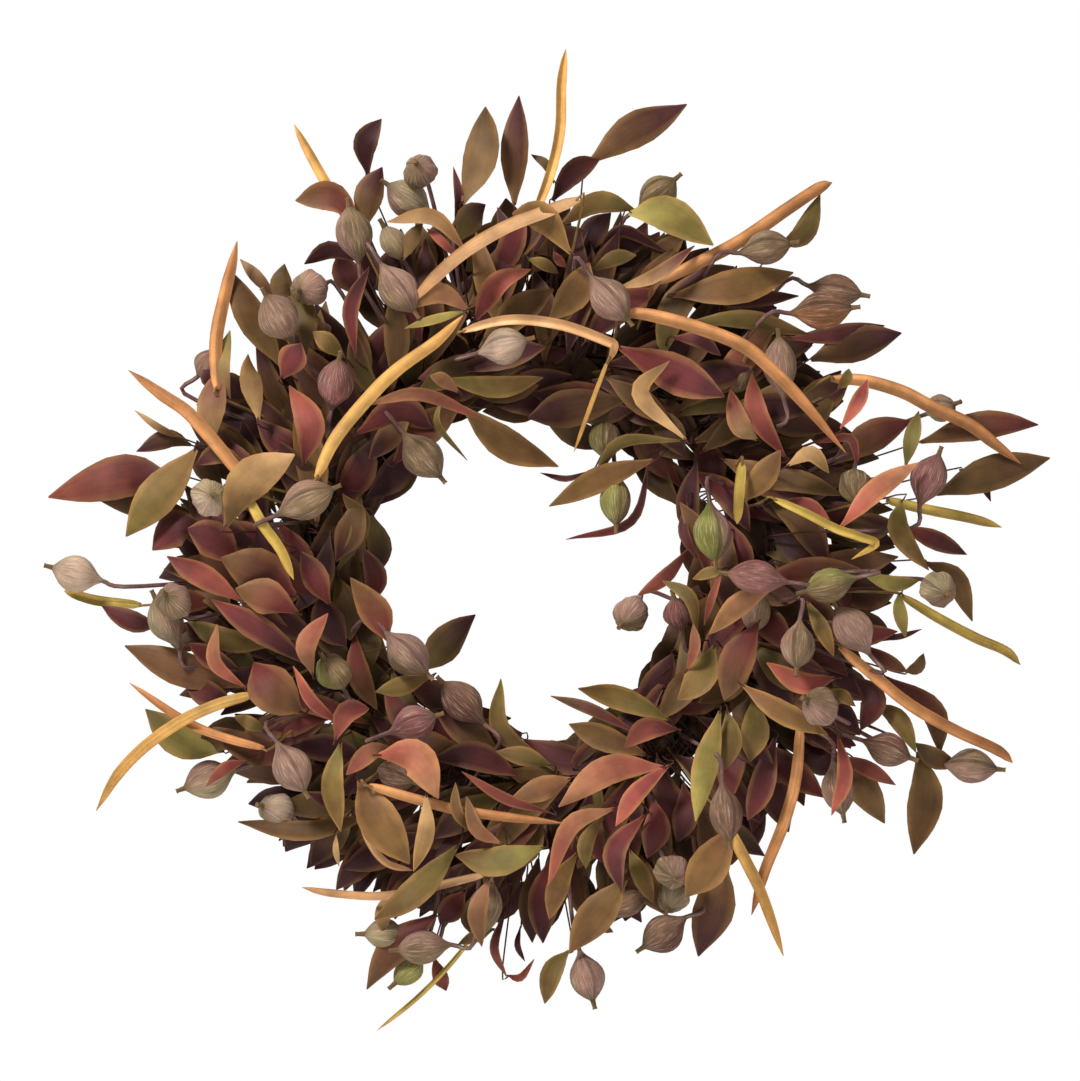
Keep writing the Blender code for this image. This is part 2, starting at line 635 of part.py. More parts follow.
# What a spray carries, its name, its elements, and the lane of the bundle that its stem lies in
KINDS = (
    ("leaf", "leaf_spray", LEAVES, 90.0),
    ("pod", "pod_pick", PODS, 50.0),
    ("blade", "grass_tuft", BLADES, 130.0),
)


def layer_of(kind, row):
    """How far in front an element lies, from 1 at the ring."""
    return row[1] if kind == "blade" else row[-1]


def plan():
    """(layer, kind, name, row, number, sector, lane) of each element, from the ring outwards."""
    found = []
    for kind, name, rows, lane in KINDS:
        for number, row in enumerate(rows):
            sector = sector_of(foot_place(kind, row))
            found.append((layer_of(kind, row), kind, name, row, number, sector, lane))
    return sorted(found, key=lambda item: (item[0], item[1], item[4]))


def turn_round_ring(x, z):
    """Degrees from the first sector's edge to a place."""
    return (math.degrees(math.atan2(z, x)) - sector_edge(0)) % 360.0


def sprays():
    """Trunks by (name, sector), and the segment of each element: they follow each other as the feet do."""
    groups = {}
    for _, kind, name, row, number, sector, lane in plan():
        groups.setdefault((name, sector), []).append((kind, row, number, lane))
    trunks = {}
    segments = {}
    for key, members in groups.items():
        members.sort(key=lambda member: turn_round_ring(*foot_place(member[0], member[1])))
        trunks[key] = Trunk(key[1], members[0][3], len(members))
        for segment, (kind, _, number, _) in enumerate(members):
            segments[kind, number] = segment
    return trunks, segments


def trunk_shell(trunk, held):
    """The bar with what it carries: held gives (face, rings) for each segment."""
    shell = Shell()
    rings = [shell.ring(trunk.corners(angle)) for angle in trunk.stops]
    shell.cap(rings[0][::-1])
    for k, (a, b) in enumerate(zip(rings, rings[1:])):
        face, grown = held.get((k - 1) / 2, (None, None))
        for side in range(4):
            quad = [a[side], a[(side + 1) % 4], b[(side + 1) % 4], b[side]]
            if side == face:
                shell.joined([quad] + [shell.ring(ring) for ring in grown[1:]])
            else:
                shell.faces.append(tuple(quad))
    shell.cap(rings[-1])
    return shell


def bar_only(trunk):
    """The bar without what it carries, to keep its room free."""
    return shell_of([trunk.corners(angle) for angle in trunk.stops])


def material(name, colour, roughness, metallic=0.0):
    made = bpy.data.materials.new(name)
    made.use_nodes = True
    shader = made.node_tree.nodes["Principled BSDF"]
    shader.inputs["Base Color"].default_value = (*colour, 1.0)
    shader.inputs["Roughness"].default_value = roughness
    shader.inputs["Metallic"].default_value = metallic
    return made


def face_outwards(mesh):
    work = bmesh.new()
    work.from_mesh(mesh)
    bmesh.ops.recalc_face_normals(work, faces=work.faces)
    if work.calc_volume(signed=True) < 0:
        bmesh.ops.reverse_faces(work, faces=work.faces)
    work.to_mesh(mesh)
    work.free()


def add_object(name, shell, look, origin=Vector()):
    """A mesh object with its origin at a point given in millimetres."""
    mesh = bpy.data.meshes.new(name)
    mesh.from_pydata([(p - origin) * MM for p in shell.points], [], shell.faces)
    face_outwards(mesh)
    mesh.materials.append(look)
    mesh.shade_smooth()
    mesh.set_sharp_from_angle(angle=math.radians(40))
    made = bpy.data.objects.new(name, mesh)
    made.location = origin * MM
    bpy.context.scene.collection.objects.link(made)
    return made


def clear_scene():
    for old in list(bpy.data.objects):
        bpy.data.objects.remove(old, do_unlink=True)


SPRAY_COLOURS = ((0.13, 0.09, 0.03), (0.14, 0.03, 0.03), (0.12, 0.12, 0.03), (0.19, 0.08, 0.04))
POD_COLOURS = ((0.27, 0.15, 0.13), (0.35, 0.2, 0.16), (0.25, 0.2, 0.09))
BLADE_COLOURS = ((0.55, 0.3, 0.09), (0.45, 0.17, 0.06))


def colour_of(name, sector):
    shades = {"leaf_spray": SPRAY_COLOURS, "pod_pick": POD_COLOURS, "grass_tuft": BLADE_COLOURS}[name]
    return shades[sector % len(shades)]


def main():
    clear_scene()
    bark = material("vine_bark", (0.06, 0.035, 0.02), 0.85)
    fixed = [(f"vine_{n + 1}", vine(n), bark) for n in range(VINE_COUNT)]
    fixed.append(("core_vine", core_vine(), bark))
    fixed.append(("binding_wire", binding_wire(), material("green_wire", (0.03, 0.05, 0.03), 0.4, 0.8)))
    hanger = hanger_loop()
    taken = Taken()
    for _, shell, _ in fixed:
        taken.add(shell)
    taken.add(hanger)
    trunks, segments = sprays()
    for trunk in trunks.values():
        taken.add(bar_only(trunk))
    held = {key: {} for key in trunks}
    for _, kind, name, row, number, sector, _ in plan():
        trunk = trunks[name, sector]
        held_there = held[name, sector]
        wanted = segments[kind, number]
        free = [k for k in range(len(trunk.seats)) if k not in held_there]
        free.sort(key=lambda k: abs(k - wanted))
        segment, face, rings = settle(kind, row, number, trunk, free, taken)
        held_there[segment] = face, rings
        taken.add(shell_of(rings))
    for name, shell, look in fixed:
        add_object(name, shell, look)
    pivot = RING_CENTRE + Vector((0, 0, RING_RADIUS))
    add_object("hanger_loop", hanger, material("hanger_wire", (0.3, 0.3, 0.3), 0.35, 1.0), pivot)
    for (name, sector), trunk in trunks.items():
        look = material(f"{name}_{sector + 1:02d}", colour_of(name, sector), 0.6)
        add_object(f"{name}_{sector + 1:02d}", trunk_shell(trunk, held[name, sector]), look)


main()
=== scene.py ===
"""Harvest door wreath: the looks of its leaves, pods, grass and vines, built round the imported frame."""

import math

import bpy
import numpy as np
from bpy.props import FloatProperty, FloatVectorProperty, IntProperty
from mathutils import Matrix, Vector


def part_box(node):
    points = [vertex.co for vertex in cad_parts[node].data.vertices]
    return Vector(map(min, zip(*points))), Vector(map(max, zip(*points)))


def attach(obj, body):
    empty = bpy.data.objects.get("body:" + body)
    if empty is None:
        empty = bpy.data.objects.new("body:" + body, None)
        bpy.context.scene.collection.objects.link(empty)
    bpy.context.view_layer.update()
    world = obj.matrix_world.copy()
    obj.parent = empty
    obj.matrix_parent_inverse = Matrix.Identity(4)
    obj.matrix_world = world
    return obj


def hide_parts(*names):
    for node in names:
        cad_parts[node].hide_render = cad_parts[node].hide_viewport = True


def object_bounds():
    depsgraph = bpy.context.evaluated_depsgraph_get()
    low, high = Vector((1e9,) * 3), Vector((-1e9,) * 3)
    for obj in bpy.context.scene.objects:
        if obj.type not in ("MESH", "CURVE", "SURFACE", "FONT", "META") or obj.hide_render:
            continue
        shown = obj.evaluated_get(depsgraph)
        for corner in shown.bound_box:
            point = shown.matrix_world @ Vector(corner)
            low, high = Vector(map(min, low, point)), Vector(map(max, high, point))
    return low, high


bl_info = {
    "name": "Harvest Door Wreath",
    "version": (1, 0, 0),
    "blender": (4, 5, 0),
    "location": "View3D > Sidebar > Wreath",
    "description": "Dresses a wired vine ring with foam leaves, papery pods and grass",
    "category": "Object",
}

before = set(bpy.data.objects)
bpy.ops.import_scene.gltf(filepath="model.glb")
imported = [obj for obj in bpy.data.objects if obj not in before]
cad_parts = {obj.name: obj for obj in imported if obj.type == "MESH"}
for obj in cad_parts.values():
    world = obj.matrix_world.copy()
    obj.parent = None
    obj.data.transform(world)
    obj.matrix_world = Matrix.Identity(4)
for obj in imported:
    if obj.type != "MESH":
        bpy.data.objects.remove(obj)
CAD_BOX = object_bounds()

# ---------------------------------------------------------------- what the frame gives

MM = 0.001
CORE_LOW, CORE_HIGH = (np.array(c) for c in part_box("core_vine"))
RING_CENTRE = (CORE_LOW + CORE_HIGH) / 2
CORE_VINE = (CORE_HIGH[1] - CORE_LOW[1]) / 2
RING_RADIUS = (CORE_HIGH[2] - CORE_LOW[2]) / 2 - CORE_VINE
NODES = sorted(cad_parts)

# ---------------------------------------------------------------- the ring's strands, in metres

# The vines, their turns round the core in one trip round the ring, and their distance from its middle
VINES = 5
VINE_TURNS = 3
VINE_CIRCLE = 0.0094
VINE_RADIUS = 0.0052
CORE_RADIUS = 0.0036
# The loose twigs lie on the vines, and the binding wire goes round everything.
TWIG_CIRCLE = 0.0135
TWIG_RADIUS = 0.0019
BINDING_CIRCLE = 0.01835
BINDING_RADIUS = 0.00055

# ---------------------------------------------------------------- the layout, in millimetres

# The tables' places are measured from the centre of a ring of this radius.
LAYOUT_RADIUS = 150.0
SCALE = RING_RADIUS / (LAYOUT_RADIUS * MM)
# The body of foliage: thickest at this radius, thin this far inside and outside it
BODY_RADIUS = 190.0
BODY_HALF_WIDTH = 150.0
BODY_DEPTH = 82.0
EDGE_SHARE = 0.2
# Where the lowest layer lies in front of the ring's centreline, and how far it drops at the edges
LOWEST_LAYER = 20.0
RIM_SETBACK = 12.0
LAYERS = 9
# The sectors that the sprays are bound on in, and where the first one starts
SECTORS = 16
SECTOR = 360 / SECTORS
SECTOR_START = 87.2
# The binding wire crosses the front of the ring at this angle, and once in each sector.
BINDING_START = math.pi / 2 - SECTORS * math.radians(85.2)
# How far in front of the ring's centreline the stalks are bound
BOUND_DEPTH = 17.0


def linear(code):
    """A colour written as sRGB hex, as the linear numbers that a shader takes."""
    parts = [int(code[k : k + 2], 16) / 255 for k in (1, 3, 5)]
    return tuple(c / 12.92 if c <= 0.04045 else ((c + 0.055) / 1.055) ** 2.4 for c in parts)


# Foam leaf colours by letter: the painted face, and the underside
LEAF_DYES = {
    "M": ("#54282a", "#40201f"),
    "R": ("#763430", "#5b2a2a"),
    "C": ("#9b5040", "#7a3b36"),
    "B": ("#74502f", "#5a3126"),
    "P": ("#9d6a4a", "#7a4134"),
    "O": ("#75562e", "#5f3427"),
    "G": ("#766330", "#553d22"),
    "Y": ("#9c8d4a", "#74602f"),
    "T": ("#b28a5c", "#7d5a35"),
}
# Paper pod colours by letter: its main dye, and the one that has run in from one side
POD_DYES = {
    "M": ("#a67f6d", "#8d7153"),
    "P": ("#c4a58c", "#a8916d"),
    "E": ("#a38f6c", "#93705c"),
    "G": ("#97904f", "#866c49"),
    "B": ("#76503f", "#8d6a52"),
    "D": ("#84504b", "#97645c"),
    "O": ("#935f3c", "#7b5640"),
    "H": ("#8f5f60", "#85813f"),
}
# Grass colours by letter: the middle of the blade, and its edges and tip
GRASS_DYES = {
    "G": ("#d0a057", "#b97c3a"),
    "O": ("#cb8d58", "#95582e"),
    "P": ("#d8a877", "#a3683a"),
    "Y": ("#bfa24d", "#a67c38"),
}

# Leaves: foot x, z; middle x, z; tip x, z; width; dyes at foot and tip; layer, 9 in front
LEAVES = [
    (-106, 260, -108, 281, -97, 298, 15, "MM", 3),
    (-108, 224, -105, 246, -96, 265, 18, "OM", 4), (-111, 230, -130, 245, -153, 243, 18, "RB", 5),
    (-114, 204, -130, 210, -147, 201, 12, "MM", 4), (-162, 134, -180, 165, -196, 197, 20, "OB", 5),
    (-158, 172, -162, 186, -160, 201, 14, "TO", 4), (-146, 140, -145, 165, -156, 188, 14, "OG", 5),
    (-165, 178, -178, 192, -190, 205, 8, "PT", 3), (-112, 140, -115, 170, -103, 197, 10, "RM", 8),
    (-120, 139, -130, 148, -140, 155, 12, "GO", 7), (-160, 125, -153, 137, -147, 147, 18, "RM", 8),
    (-146, 70, -141, 95, -155, 120, 18, "RC", 8), (-176, 98, -180, 122, -183, 141, 14, "TO", 6),
    (-195, 112, -200, 135, -195, 157, 10, "TY", 6), (-206, 84, -207, 108, -201, 131, 18, "TR", 6),
    (-222, 82, -238, 86, -258, 78, 12, "OM", 3), (-228, 87, -242, 93, -259, 105, 5, "BT", 4),
    (-205, 116, -210, 127, -206, 138, 10, "MM", 4), (-238, 64, -268, 62, -317, 48, 28, "RC", 4),
    (-217, 79, -240, 52, -263, 22, 25, "OG", 6), (-222, 38, -252, 42, -283, 46, 16, "OB", 3),
    (-186, 70, -203, 76, -217, 69, 12, "OM", 5), (-196, 28, -180, 58, -151, 75, 25, "OT", 9),
    (-214, 30, -232, 28, -246, 13, 24, "MR", 5), (-190, 5, -205, 20, -222, 27, 24, "RM", 6),
    (-187, -20, -212, -3, -235, 9, 16, "CR", 7), (-152, -16, -175, -2, -200, 8, 28, "RB", 7),
    (-150, -28, -170, -18, -190, -12, 22, "RB", 8), (-143, -62, -175, -38, -206, -19, 16, "MR", 7),
    (-130, -22, -140, -5, -148, 12, 18, "RM", 6), (-125, 0, -110, 30, -122, 50, 12, "GO", 4),
    (-244, -37, -262, -34, -281, -24, 14, "MR", 3), (-170, -50, -198, -46, -223, -34, 16, "OG", 5),
    (-188, -76, -225, -66, -265, -50, 22, "PB", 4), (-184, -77, -204, -60, -202, -35, 9, "CP", 7),
    (-190, -65, -205, -58, -222, -48, 14, "MR", 5), (-148, -92, -165, -78, -178, -60, 28, "BR", 8),
    (-140, -68, -144, -48, -130, -28, 13, "PC", 8), (-122, -100, -140, -85, -152, -62, 9, "RC", 9),
    (-125, -110, -118, -92, -103, -90, 14, "CR", 9), (-200, -119, -228, -112, -252, -92, 22, "YG", 3),
    (-150, -124, -180, -118, -206, -103, 18, "RB", 5), (-172, -105, -182, -100, -192, -96, 10, "GO", 6),
    (-185, -125, -197, -129, -210, -141, 8, "RC", 7), (-100, -160, -145, -170, -190, -165, 13, "OB", 5),
    (-122, -112, -127, -140, -122, -170, 14, "GO", 7), (-125, -172, -125, -182, -123, -193, 4, "TT", 7),
    (-124, -154, -133, -150, -143, -145, 8, "MM", 6), (-110, -137, -97, -163, -77, -191, 25, "BO", 7),
    (-90, -115, -104, -119, -118, -133, 12, "PC", 8), (-97, -120, -73, -122, -58, -148, 22, "CP", 9),
    (-66, -146, -66, -170, -74, -195, 11, "TO", 9), (-62, -124, -35, -122, -7, -135, 18, "MR", 4),
    (15, -158, -15, -148, -43, -131, 7, "RC", 8), (-35, -172, -46, -157, -47, -138, 7, "BO", 8),
    (-17, -178, -33, -168, -40, -147, 9, "PB", 8), (10, -180, -20, -188, -47, -185, 20, "YO", 8),
    (-46, -180, -72, -208, -100, -228, 18, "GO", 7), (-93, -213, -95, -225, -95, -238, 10, "TO", 5),
    (-60, -226, -85, -245, -106, -276, 20, "RB", 5), (-42, -212, -50, -222, -58, -232, 16, "RM", 4),
    (-25, -200, -33, -222, -30, -245, 12, "PB", 8), (-62, -256, -58, -268, -54, -278, 10, "CR", 3),
    (-22, -236, -33, -240, -46, -246, 8, "GO", 4), (-15, -225, -22, -248, -14, -268, 6, "MC", 4),
    (-14, -267, -5, -268, 4, -256, 5, "CC", 4), (-5, -235, -7, -247, -2, -258, 4, "MM", 3),
    (0, -228, 15, -232, 27, -210, 4, "MM", 3), (56, -155, 28, -166, 13, -205, 12, "PC", 8),
    (50, -160, 38, -178, 38, -195, 10, "OG", 6), (32, -185, 20, -205, 14, -228, 14, "OB", 6),
    (88, -128, 52, -130, 20, -154, 18, "CP", 8), (28, -136, 10, -142, -12, -150, 15, "PB", 7),
    (15, -128, -2, -122, -21, -119, 12, "GO", 6), (17, -131, -18, -105, -18, -72, 12, "OG", 4),
    (70, -106, 42, -92, 15, -83, 8, "RB", 6), (92, -98, 62, -84, 33, -78, 16, "GO", 5),
    (77, -121, 50, -110, 27, -101, 16, "BO", 6), (97, -104, 78, -103, 63, -116, 14, "RC", 7),
    (92, -127, 70, -145, 57, -166, 12, "RC", 8), (76, -160, 57, -182, 61, -210, 14, "RM", 7),
    (82, -150, 84, -170, 78, -188, 18, "RM", 6), (64, -201, 45, -224, 27, -250, 22, "OB", 7),
    (27, -250, 16, -264, 11, -285, 13, "GO", 5), (67, -184, 74, -200, 82, -218, 12, "GO", 5),
    (44, -230, 50, -235, 56, -238, 5, "BB", 4), (134, -168, 118, -192, 103, -213, 24, "BO", 7),
    (128, -190, 122, -222, 112, -254, 25, "BM", 5), (162, -110, 153, -140, 144, -164, 16, "MR", 5),
    (148, -84, 148, -105, 145, -125, 18, "GO", 6), (125, -92, 116, -125, 109, -163, 16, "GY", 8),
    (130, -92, 132, -110, 128, -130, 14, "GO", 7), (102, -140, 103, -160, 98, -178, 16, "RM", 5),
    (212, -124, 222, -145, 235, -167, 20, "BO", 4), (203, -122, 222, -130, 241, -141, 10, "RC", 6),
    (202, -108, 206, -135, 198, -160, 10, "RC", 8), (257, -120, 262, -150, 255, -188, 22, "OB", 4),
    (228, -88, 243, -98, 255, -120, 12, "OG", 5), (285, -130, 268, -124, 255, -114, 13, "BO", 4),
    (234, -70, 266, -92, 272, -121, 15, "RB", 4), (214, -70, 226, -85, 218, -105, 16, "MR", 5),
    (182, -20, 191, -38, 199, -56, 10, "GO", 7), (158, -13, 138, -22, 118, -42, 14, "PB", 8),
    (150, -35, 136, -58, 128, -85, 22, "RB", 7), (122, -50, 113, -70, 98, -85, 20, "GO", 6),
    (200, -70, 178, -73, 155, -60, 14, "RC", 8), (140, -75, 165, -92, 195, -107, 14, "BO", 8),
    (198, -78, 206, -82, 214, -89, 8, "GO", 6), (127, -2, 120, -18, 115, -36, 5, "CC", 7),
    (131, 1, 119, -2, 108, -6, 8, "GO", 6), (258, 84, 298, 95, 338, 96, 18, "BR", 5),
    (269, 50, 306, 64, 346, 74, 22, "OB", 4), (285, 66, 298, 62, 306, 45, 8, "MM", 3),
    (200, 70, 225, 87, 252, 98, 20, "BR", 4), (247, 68, 251, 86, 256, 104, 10, "YG", 7),
    (203, 28, 225, 52, 254, 70, 14, "CP", 9), (188, 83, 210, 86, 215, 68, 6, "RR", 6),
    (140, 45, 152, 60, 164, 78, 16, "OB", 8), (169, 68, 184, 76, 196, 63, 10, "TO", 7),
    (168, 74, 150, 100, 146, 128, 14, "RC", 6), (150, 85, 138, 95, 132, 118, 14, "TR", 6),
    (165, 45, 183, 43, 197, 33, 8, "RC", 6), (244, 46, 243, 25, 262, 0, 15, "GO", 7),
    (247, 28, 267, 20, 289, 10, 12, "RM", 4), (261, 5, 281, -6, 293, -34, 14, "BO", 4),
    (218, -2, 238, -9, 256, -7, 10, "YG", 6), (243, -15, 243, -28, 247, -44, 9, "YG", 6),
    (222, -44, 242, -44, 259, -39, 4, "MM", 4), (222, -50, 236, -60, 249, -67, 9, "RB", 5),
    (248, -67, 256, -64, 260, -55, 8, "TO", 4), (203, 92, 214, 108, 221, 124, 9, "CR", 9),
    (202, 118, 207, 124, 209, 131, 7, "OG", 8), (166, 214, 182, 222, 193, 248, 14, "OG", 4),
    (172, 152, 205, 155, 235, 161, 12, "RM", 4), (186, 138, 215, 148, 246, 156, 22, "BM", 4),
    (105, 162, 145, 163, 184, 154, 12, "GO", 6), (95, 180, 135, 185, 174, 195, 22, "BO", 5),
    (110, 178, 145, 178, 178, 180, 12, "RM", 4), (58, 184, 85, 193, 109, 212, 9, "TM", 6),
    (46, 208, 62, 223, 93, 208, 8, "MM", 3), (42, 196, 57, 204, 71, 206, 10, "OG", 5),
    (66, 233, 92, 232, 121, 212, 22, "YG", 7), (22, 226, 45, 240, 70, 236, 14, "OG", 6),
    (28, 206, 10, 229, -10, 232, 18, "OB", 8), (17, 255, 12, 267, 2, 274, 6, "GO", 3),
    (16, 243, 30, 262, 47, 270, 15, "MR", 4), (40, 268, 72, 292, 105, 308, 22, "BM", 4),
    (-9, 240, -9, 275, -6, 313, 17, "BM", 4), (-43, 240, -30, 273, -28, 305, 22, "TO", 5),
    (-48, 225, -45, 243, -49, 265, 6, "MM", 4), (-45, 217, -38, 230, -28, 240, 18, "GM", 4),
    (-14, 200, -13, 218, -20, 238, 10, "MM", 4), (-40, 208, -62, 230, -92, 227, 10, "BT", 7),
    (-82, 204, -77, 216, -69, 228, 10, "TO", 4), (-46, 204, -56, 214, -66, 223, 6, "CC", 6),
    (-38, 169, -58, 180, -80, 170, 13, "PB", 8), (-40, 169, -60, 163, -80, 157, 6, "YG", 8),
    (-35, 163, -20, 185, 2, 196, 16, "RC", 6), (0, 204, 10, 200, 20, 194, 8, "GO", 5),
    (17, 209, 20, 203, 25, 198, 6, "CC", 5), (14, 163, 30, 180, 40, 200, 20, "OB", 7),
    (60, 145, 95, 128, 128, 113, 24, "RM", 7), (103, 85, 73, 115, 92, 136, 11, "TO", 8),
    (95, 152, 112, 150, 126, 140, 10, "RM", 6), (-105, 108, -70, 115, -30, 99, 9, "PC", 7),
    (-43, 107, -15, 83, 20, 68, 20, "OB", 5), (40, 65, 25, 60, 8, 64, 4, "MM", 4),
    (-112, 90, -85, 104, -63, 93, 20, "RM", 4), (-57, 112, -59, 95, -40, 72, 4, "GG", 5),
    (64, 112, 30, 107, 0, 100, 24, "BM", 4), (-56, 125, -20, 120, 10, 126, 14, "GO", 6),
    (-45, 116, -55, 124, -64, 127, 9, "PB", 7), (82, 72, 48, 60, 14, 42, 16, "BO", 6),
    (102, 85, 60, 83, 42, 52, 8, "GO", 5), (80, 72, 68, 32, 25, 20, 6, "MR", 4),
    (105, 46, 102, 26, 110, 8, 7, "MR", 5), (107, 15, 90, -5, 72, -17, 9, "RC", 5),
    (111, -42, 106, -18, 88, -7, 9, "OG", 6), (104, -66, 109, -50, 108, -35, 7, "CP", 7),
    (-70, -66, -55, -50, -35, -30, 22, "GM", 4), (-92, -46, -100, -28, -116, -5, 20, "RB", 7),
    (-104, -22, -100, -5, -108, 14, 14, "RM", 5), (-64, -70, -82, -76, -100, -80, 12, "OG", 5),
]  # fmt: skip

# Grass blades: width; dye; layer; places from foot to tip
BLADES = [
    (7, "G", 4, (-113, 222), (-133, 255), (-155, 295)),
    (9, "O", 6, (-203, 118), (-204, 150), (-199, 180), (-191, 216)),
    (9, "O", 7, (-181, 58), (-190, 67), (-205, 85), (-222, 103), (-240, 115), (-262, 131)),
    (7, "G", 4, (4, 232), (15, 262), (21, 290), (22, 320), (25, 345)),
    (9, "P", 8, (33, 241), (10, 232), (-15, 222), (-40, 207), (-60, 190), (-77, 172)),
    (9, "G", 9, (-137, 60), (-125, 85), (-105, 110), (-85, 130), (-60, 148), (-42, 165)),
    (7, "P", 8, (-42, 155), (-20, 161), (0, 162), (25, 158), (50, 149), (56, 145), (52, 134)),
    (3, "G", 8, (52, 136), (42, 110), (30, 77)),
    (9, "O", 9, (62, 167), (80, 165), (110, 157), (140, 145), (160, 128), (180, 107), (206, 76)),
    (9, "O", 6, (198, 125), (220, 124), (245, 117), (265, 107), (290, 96), (308, 83), (326, 70)),
    (9, "O", 5, (85, 188), (110, 200), (140, 216), (170, 237), (192, 252), (201, 256)),
    (7, "Y", 8, (-183, 50), (-172, 30), (-160, 13), (-152, -6)),
    (7, "Y", 2, (-255, -23), (-285, -20), (-307, -14)),
    (6, "O", 6, (-172, -116), (-195, -110), (-215, -103), (-235, -92), (-261, -74)),
    (8, "G", 7, (-178, -81), (-200, -87), (-225, -98), (-250, -115), (-270, -135), (-285, -159)),
    (7, "Y", 4, (235, 46), (260, 40), (290, 34), (313, 28)),
    (7, "Y", 4, (245, -17), (270, -32), (295, -45), (316, -54), (326, -63)),
    (8, "O", 6, (203, -50), (225, -68), (250, -88), (280, -105), (310, -119), (321, -128)),
    (6, "Y", 8, (160, 46), (180, 37), (200, 27), (215, 22), (226, 17), (210, 7)),
    (6, "P", 5, (-28, -199), (-50, -204), (-75, -210), (-100, -213), (-130, -211), (-148, -208)),
    (3.5, "Y", 3, (-38, -244), (-55, -264), (-75, -284), (-100, -305)),
    (7, "O", 7, (-103, -140), (-80, -147), (-50, -155), (-20, -160), (25, -165)),
    (8, "O", 4, (179, -98), (176, -135), (168, -165), (155, -198), (147, -227)),
    (8, "G", 6, (130, -166), (142, -190), (152, -211), (168, -254)),
    (5, "P", 6, (-110, -160), (-103, -178), (-92, -191), (-75, -196)),
    (7, "Y", 8, (139, 70), (137, 50), (136, 30)),
]  # fmt: skip

# Pods: centre x, z; way the stem leaves (0 right, 90 up); how far the far end leans to the
# front; diameter; length; layer; dye
PODS = [
    (-70, 260, -60, 70, 23, 27, 7, "M"), (-77, 242, -35, 10, 25, 33, 5, "E"),
    (-113, 217, -80, 10, 24, 36, 8, "M"), (-88, 214, 300, 20, 17, 26, 3, "P"),
    (-85, 184, 125, 5, 25, 36, 8, "M"), (-141, 184, 15, 60, 25, 28, 6, "M"),
    (-161, 163, -60, 20, 27, 34, 8, "E"), (-125, 120, -100, 25, 25, 34, 8, "D"),
    (-211, 135, 230, 20, 18, 22, 3, "E"), (-17, 145, 195, 10, 25, 31, 9, "P"),
    (-70, 76, 130, 0, 26, 35, 6, "M"), (-145, 44, 205, 5, 25, 38, 9, "M"),
    (-207, 47, 200, 75, 26, 27, 8, "P"), (-296, -3, -15, 5, 24, 32, 5, "P"),
    (-229, -21, -45, 60, 25, 28, 8, "M"), (-236, -35, -65, 10, 24, 34, 5, "E"),
    (-127, -68, -60, 40, 24, 30, 5, "G"), (-80, -54, 135, 5, 26, 36, 7, "M"),
    (-76, -101, 200, 5, 25, 31, 7, "D"), (-42, -88, -45, 0, 24, 36, 5, "B"),
    (-154, -127, 120, 10, 27, 34, 8, "M"), (-208, -137, 20, 5, 25, 34, 4, "E"),
    (-165, -158, -20, 50, 24, 27, 3, "P"), (-88, -134, 160, 30, 22, 30, 4, "B"),
    (-93, -239, 0, 10, 20, 27, 4, "E"), (-67, -246, 5, 5, 25, 33, 7, "M"),
    (-78, -264, 40, 30, 18, 26, 3, "G"), (-27, -219, 80, 15, 22, 36, 5, "M"),
    (38, -265, 105, 5, 23, 32, 6, "M"), (93, -196, 120, 70, 24, 27, 6, "M"),
    (96, -215, 60, 55, 21, 26, 3, "P"), (90, -237, 35, 5, 25, 32, 5, "B"),
    (66, -219, 20, 20, 20, 30, 3, "B"), (128, -155, 97, 5, 23, 37, 9, "B"),
    (234, -117, 160, 5, 23, 31, 6, "B"), (291, -130, 175, 5, 23, 34, 5, "M"),
    (203, -142, 100, 15, 23, 34, 5, "E"), (190, -89, -30, 45, 26, 28, 9, "M"),
    (175, -47, 85, 20, 23, 31, 9, "M"), (212, -40, -55, 5, 25, 35, 7, "M"),
    (267, -12, 150, 65, 25, 27, 7, "E"), (150, -5, -8, 5, 23, 38, 9, "D"), (197, -9, 15, 5, 24, 33, 8, "G"),
    (149, -29, 260, 30, 21, 30, 5, "M"), (120, 26, 95, 5, 24, 37, 8, "H"),
    (68, -28, 50, 50, 25, 27, 5, "M"), (99, -30, -75, 20, 19, 23, 4, "D"), (58, 48, 90, 10, 22, 34, 5, "G"),
    (51, 88, 90, 20, 21, 28, 3, "G"), (52, 177, 130, 5, 25, 35, 9, "M"), (84, 246, 220, 10, 25, 30, 4, "G"),
    (154, 210, 190, 10, 24, 33, 7, "M"), (201, 184, 170, 5, 22, 34, 4, "B"),
    (190, 169, 185, 5, 25, 38, 8, "O"), (165, 131, -85, 5, 23, 38, 7, "M"),
    (213, 56, 90, 40, 24, 26, 7, "G"), (262, 58, -110, 5, 23, 34, 7, "D"),
    (272, 106, 200, 40, 19, 22, 3, "E"), (138, 126, 250, 40, 22, 26, 3, "M"),
]  # fmt: skip


# ---------------------------------------------------------------- places


def depth_at(x, z, layer):
    """Millimetres in front of the ring's centreline: deepest over the ring, thin at both edges."""
    share = np.minimum(1.0, np.abs(np.hypot(x, z) - BODY_RADIUS) / BODY_HALF_WIDTH)
    dome = EDGE_SHARE + (1 - EDGE_SHARE) * (1.0 - share**2)
    return LOWEST_LAYER - RIM_SETBACK * share**2 + BODY_DEPTH * dome * layer / LAYERS


def place(x, z, layer):
    """A point of the layout, in millimetres from the ring's centre, as x, y, z."""
    return np.array([x, -depth_at(x, z, layer), z], float)


def to_world(points):
    """Millimetres from the ring's centre to metres in the frame."""
    return np.asarray(points) * (MM * SCALE) + RING_CENTRE


def unit(v):
    """The same direction with a length of one."""
    return v / max(1e-9, float(np.linalg.norm(v)))


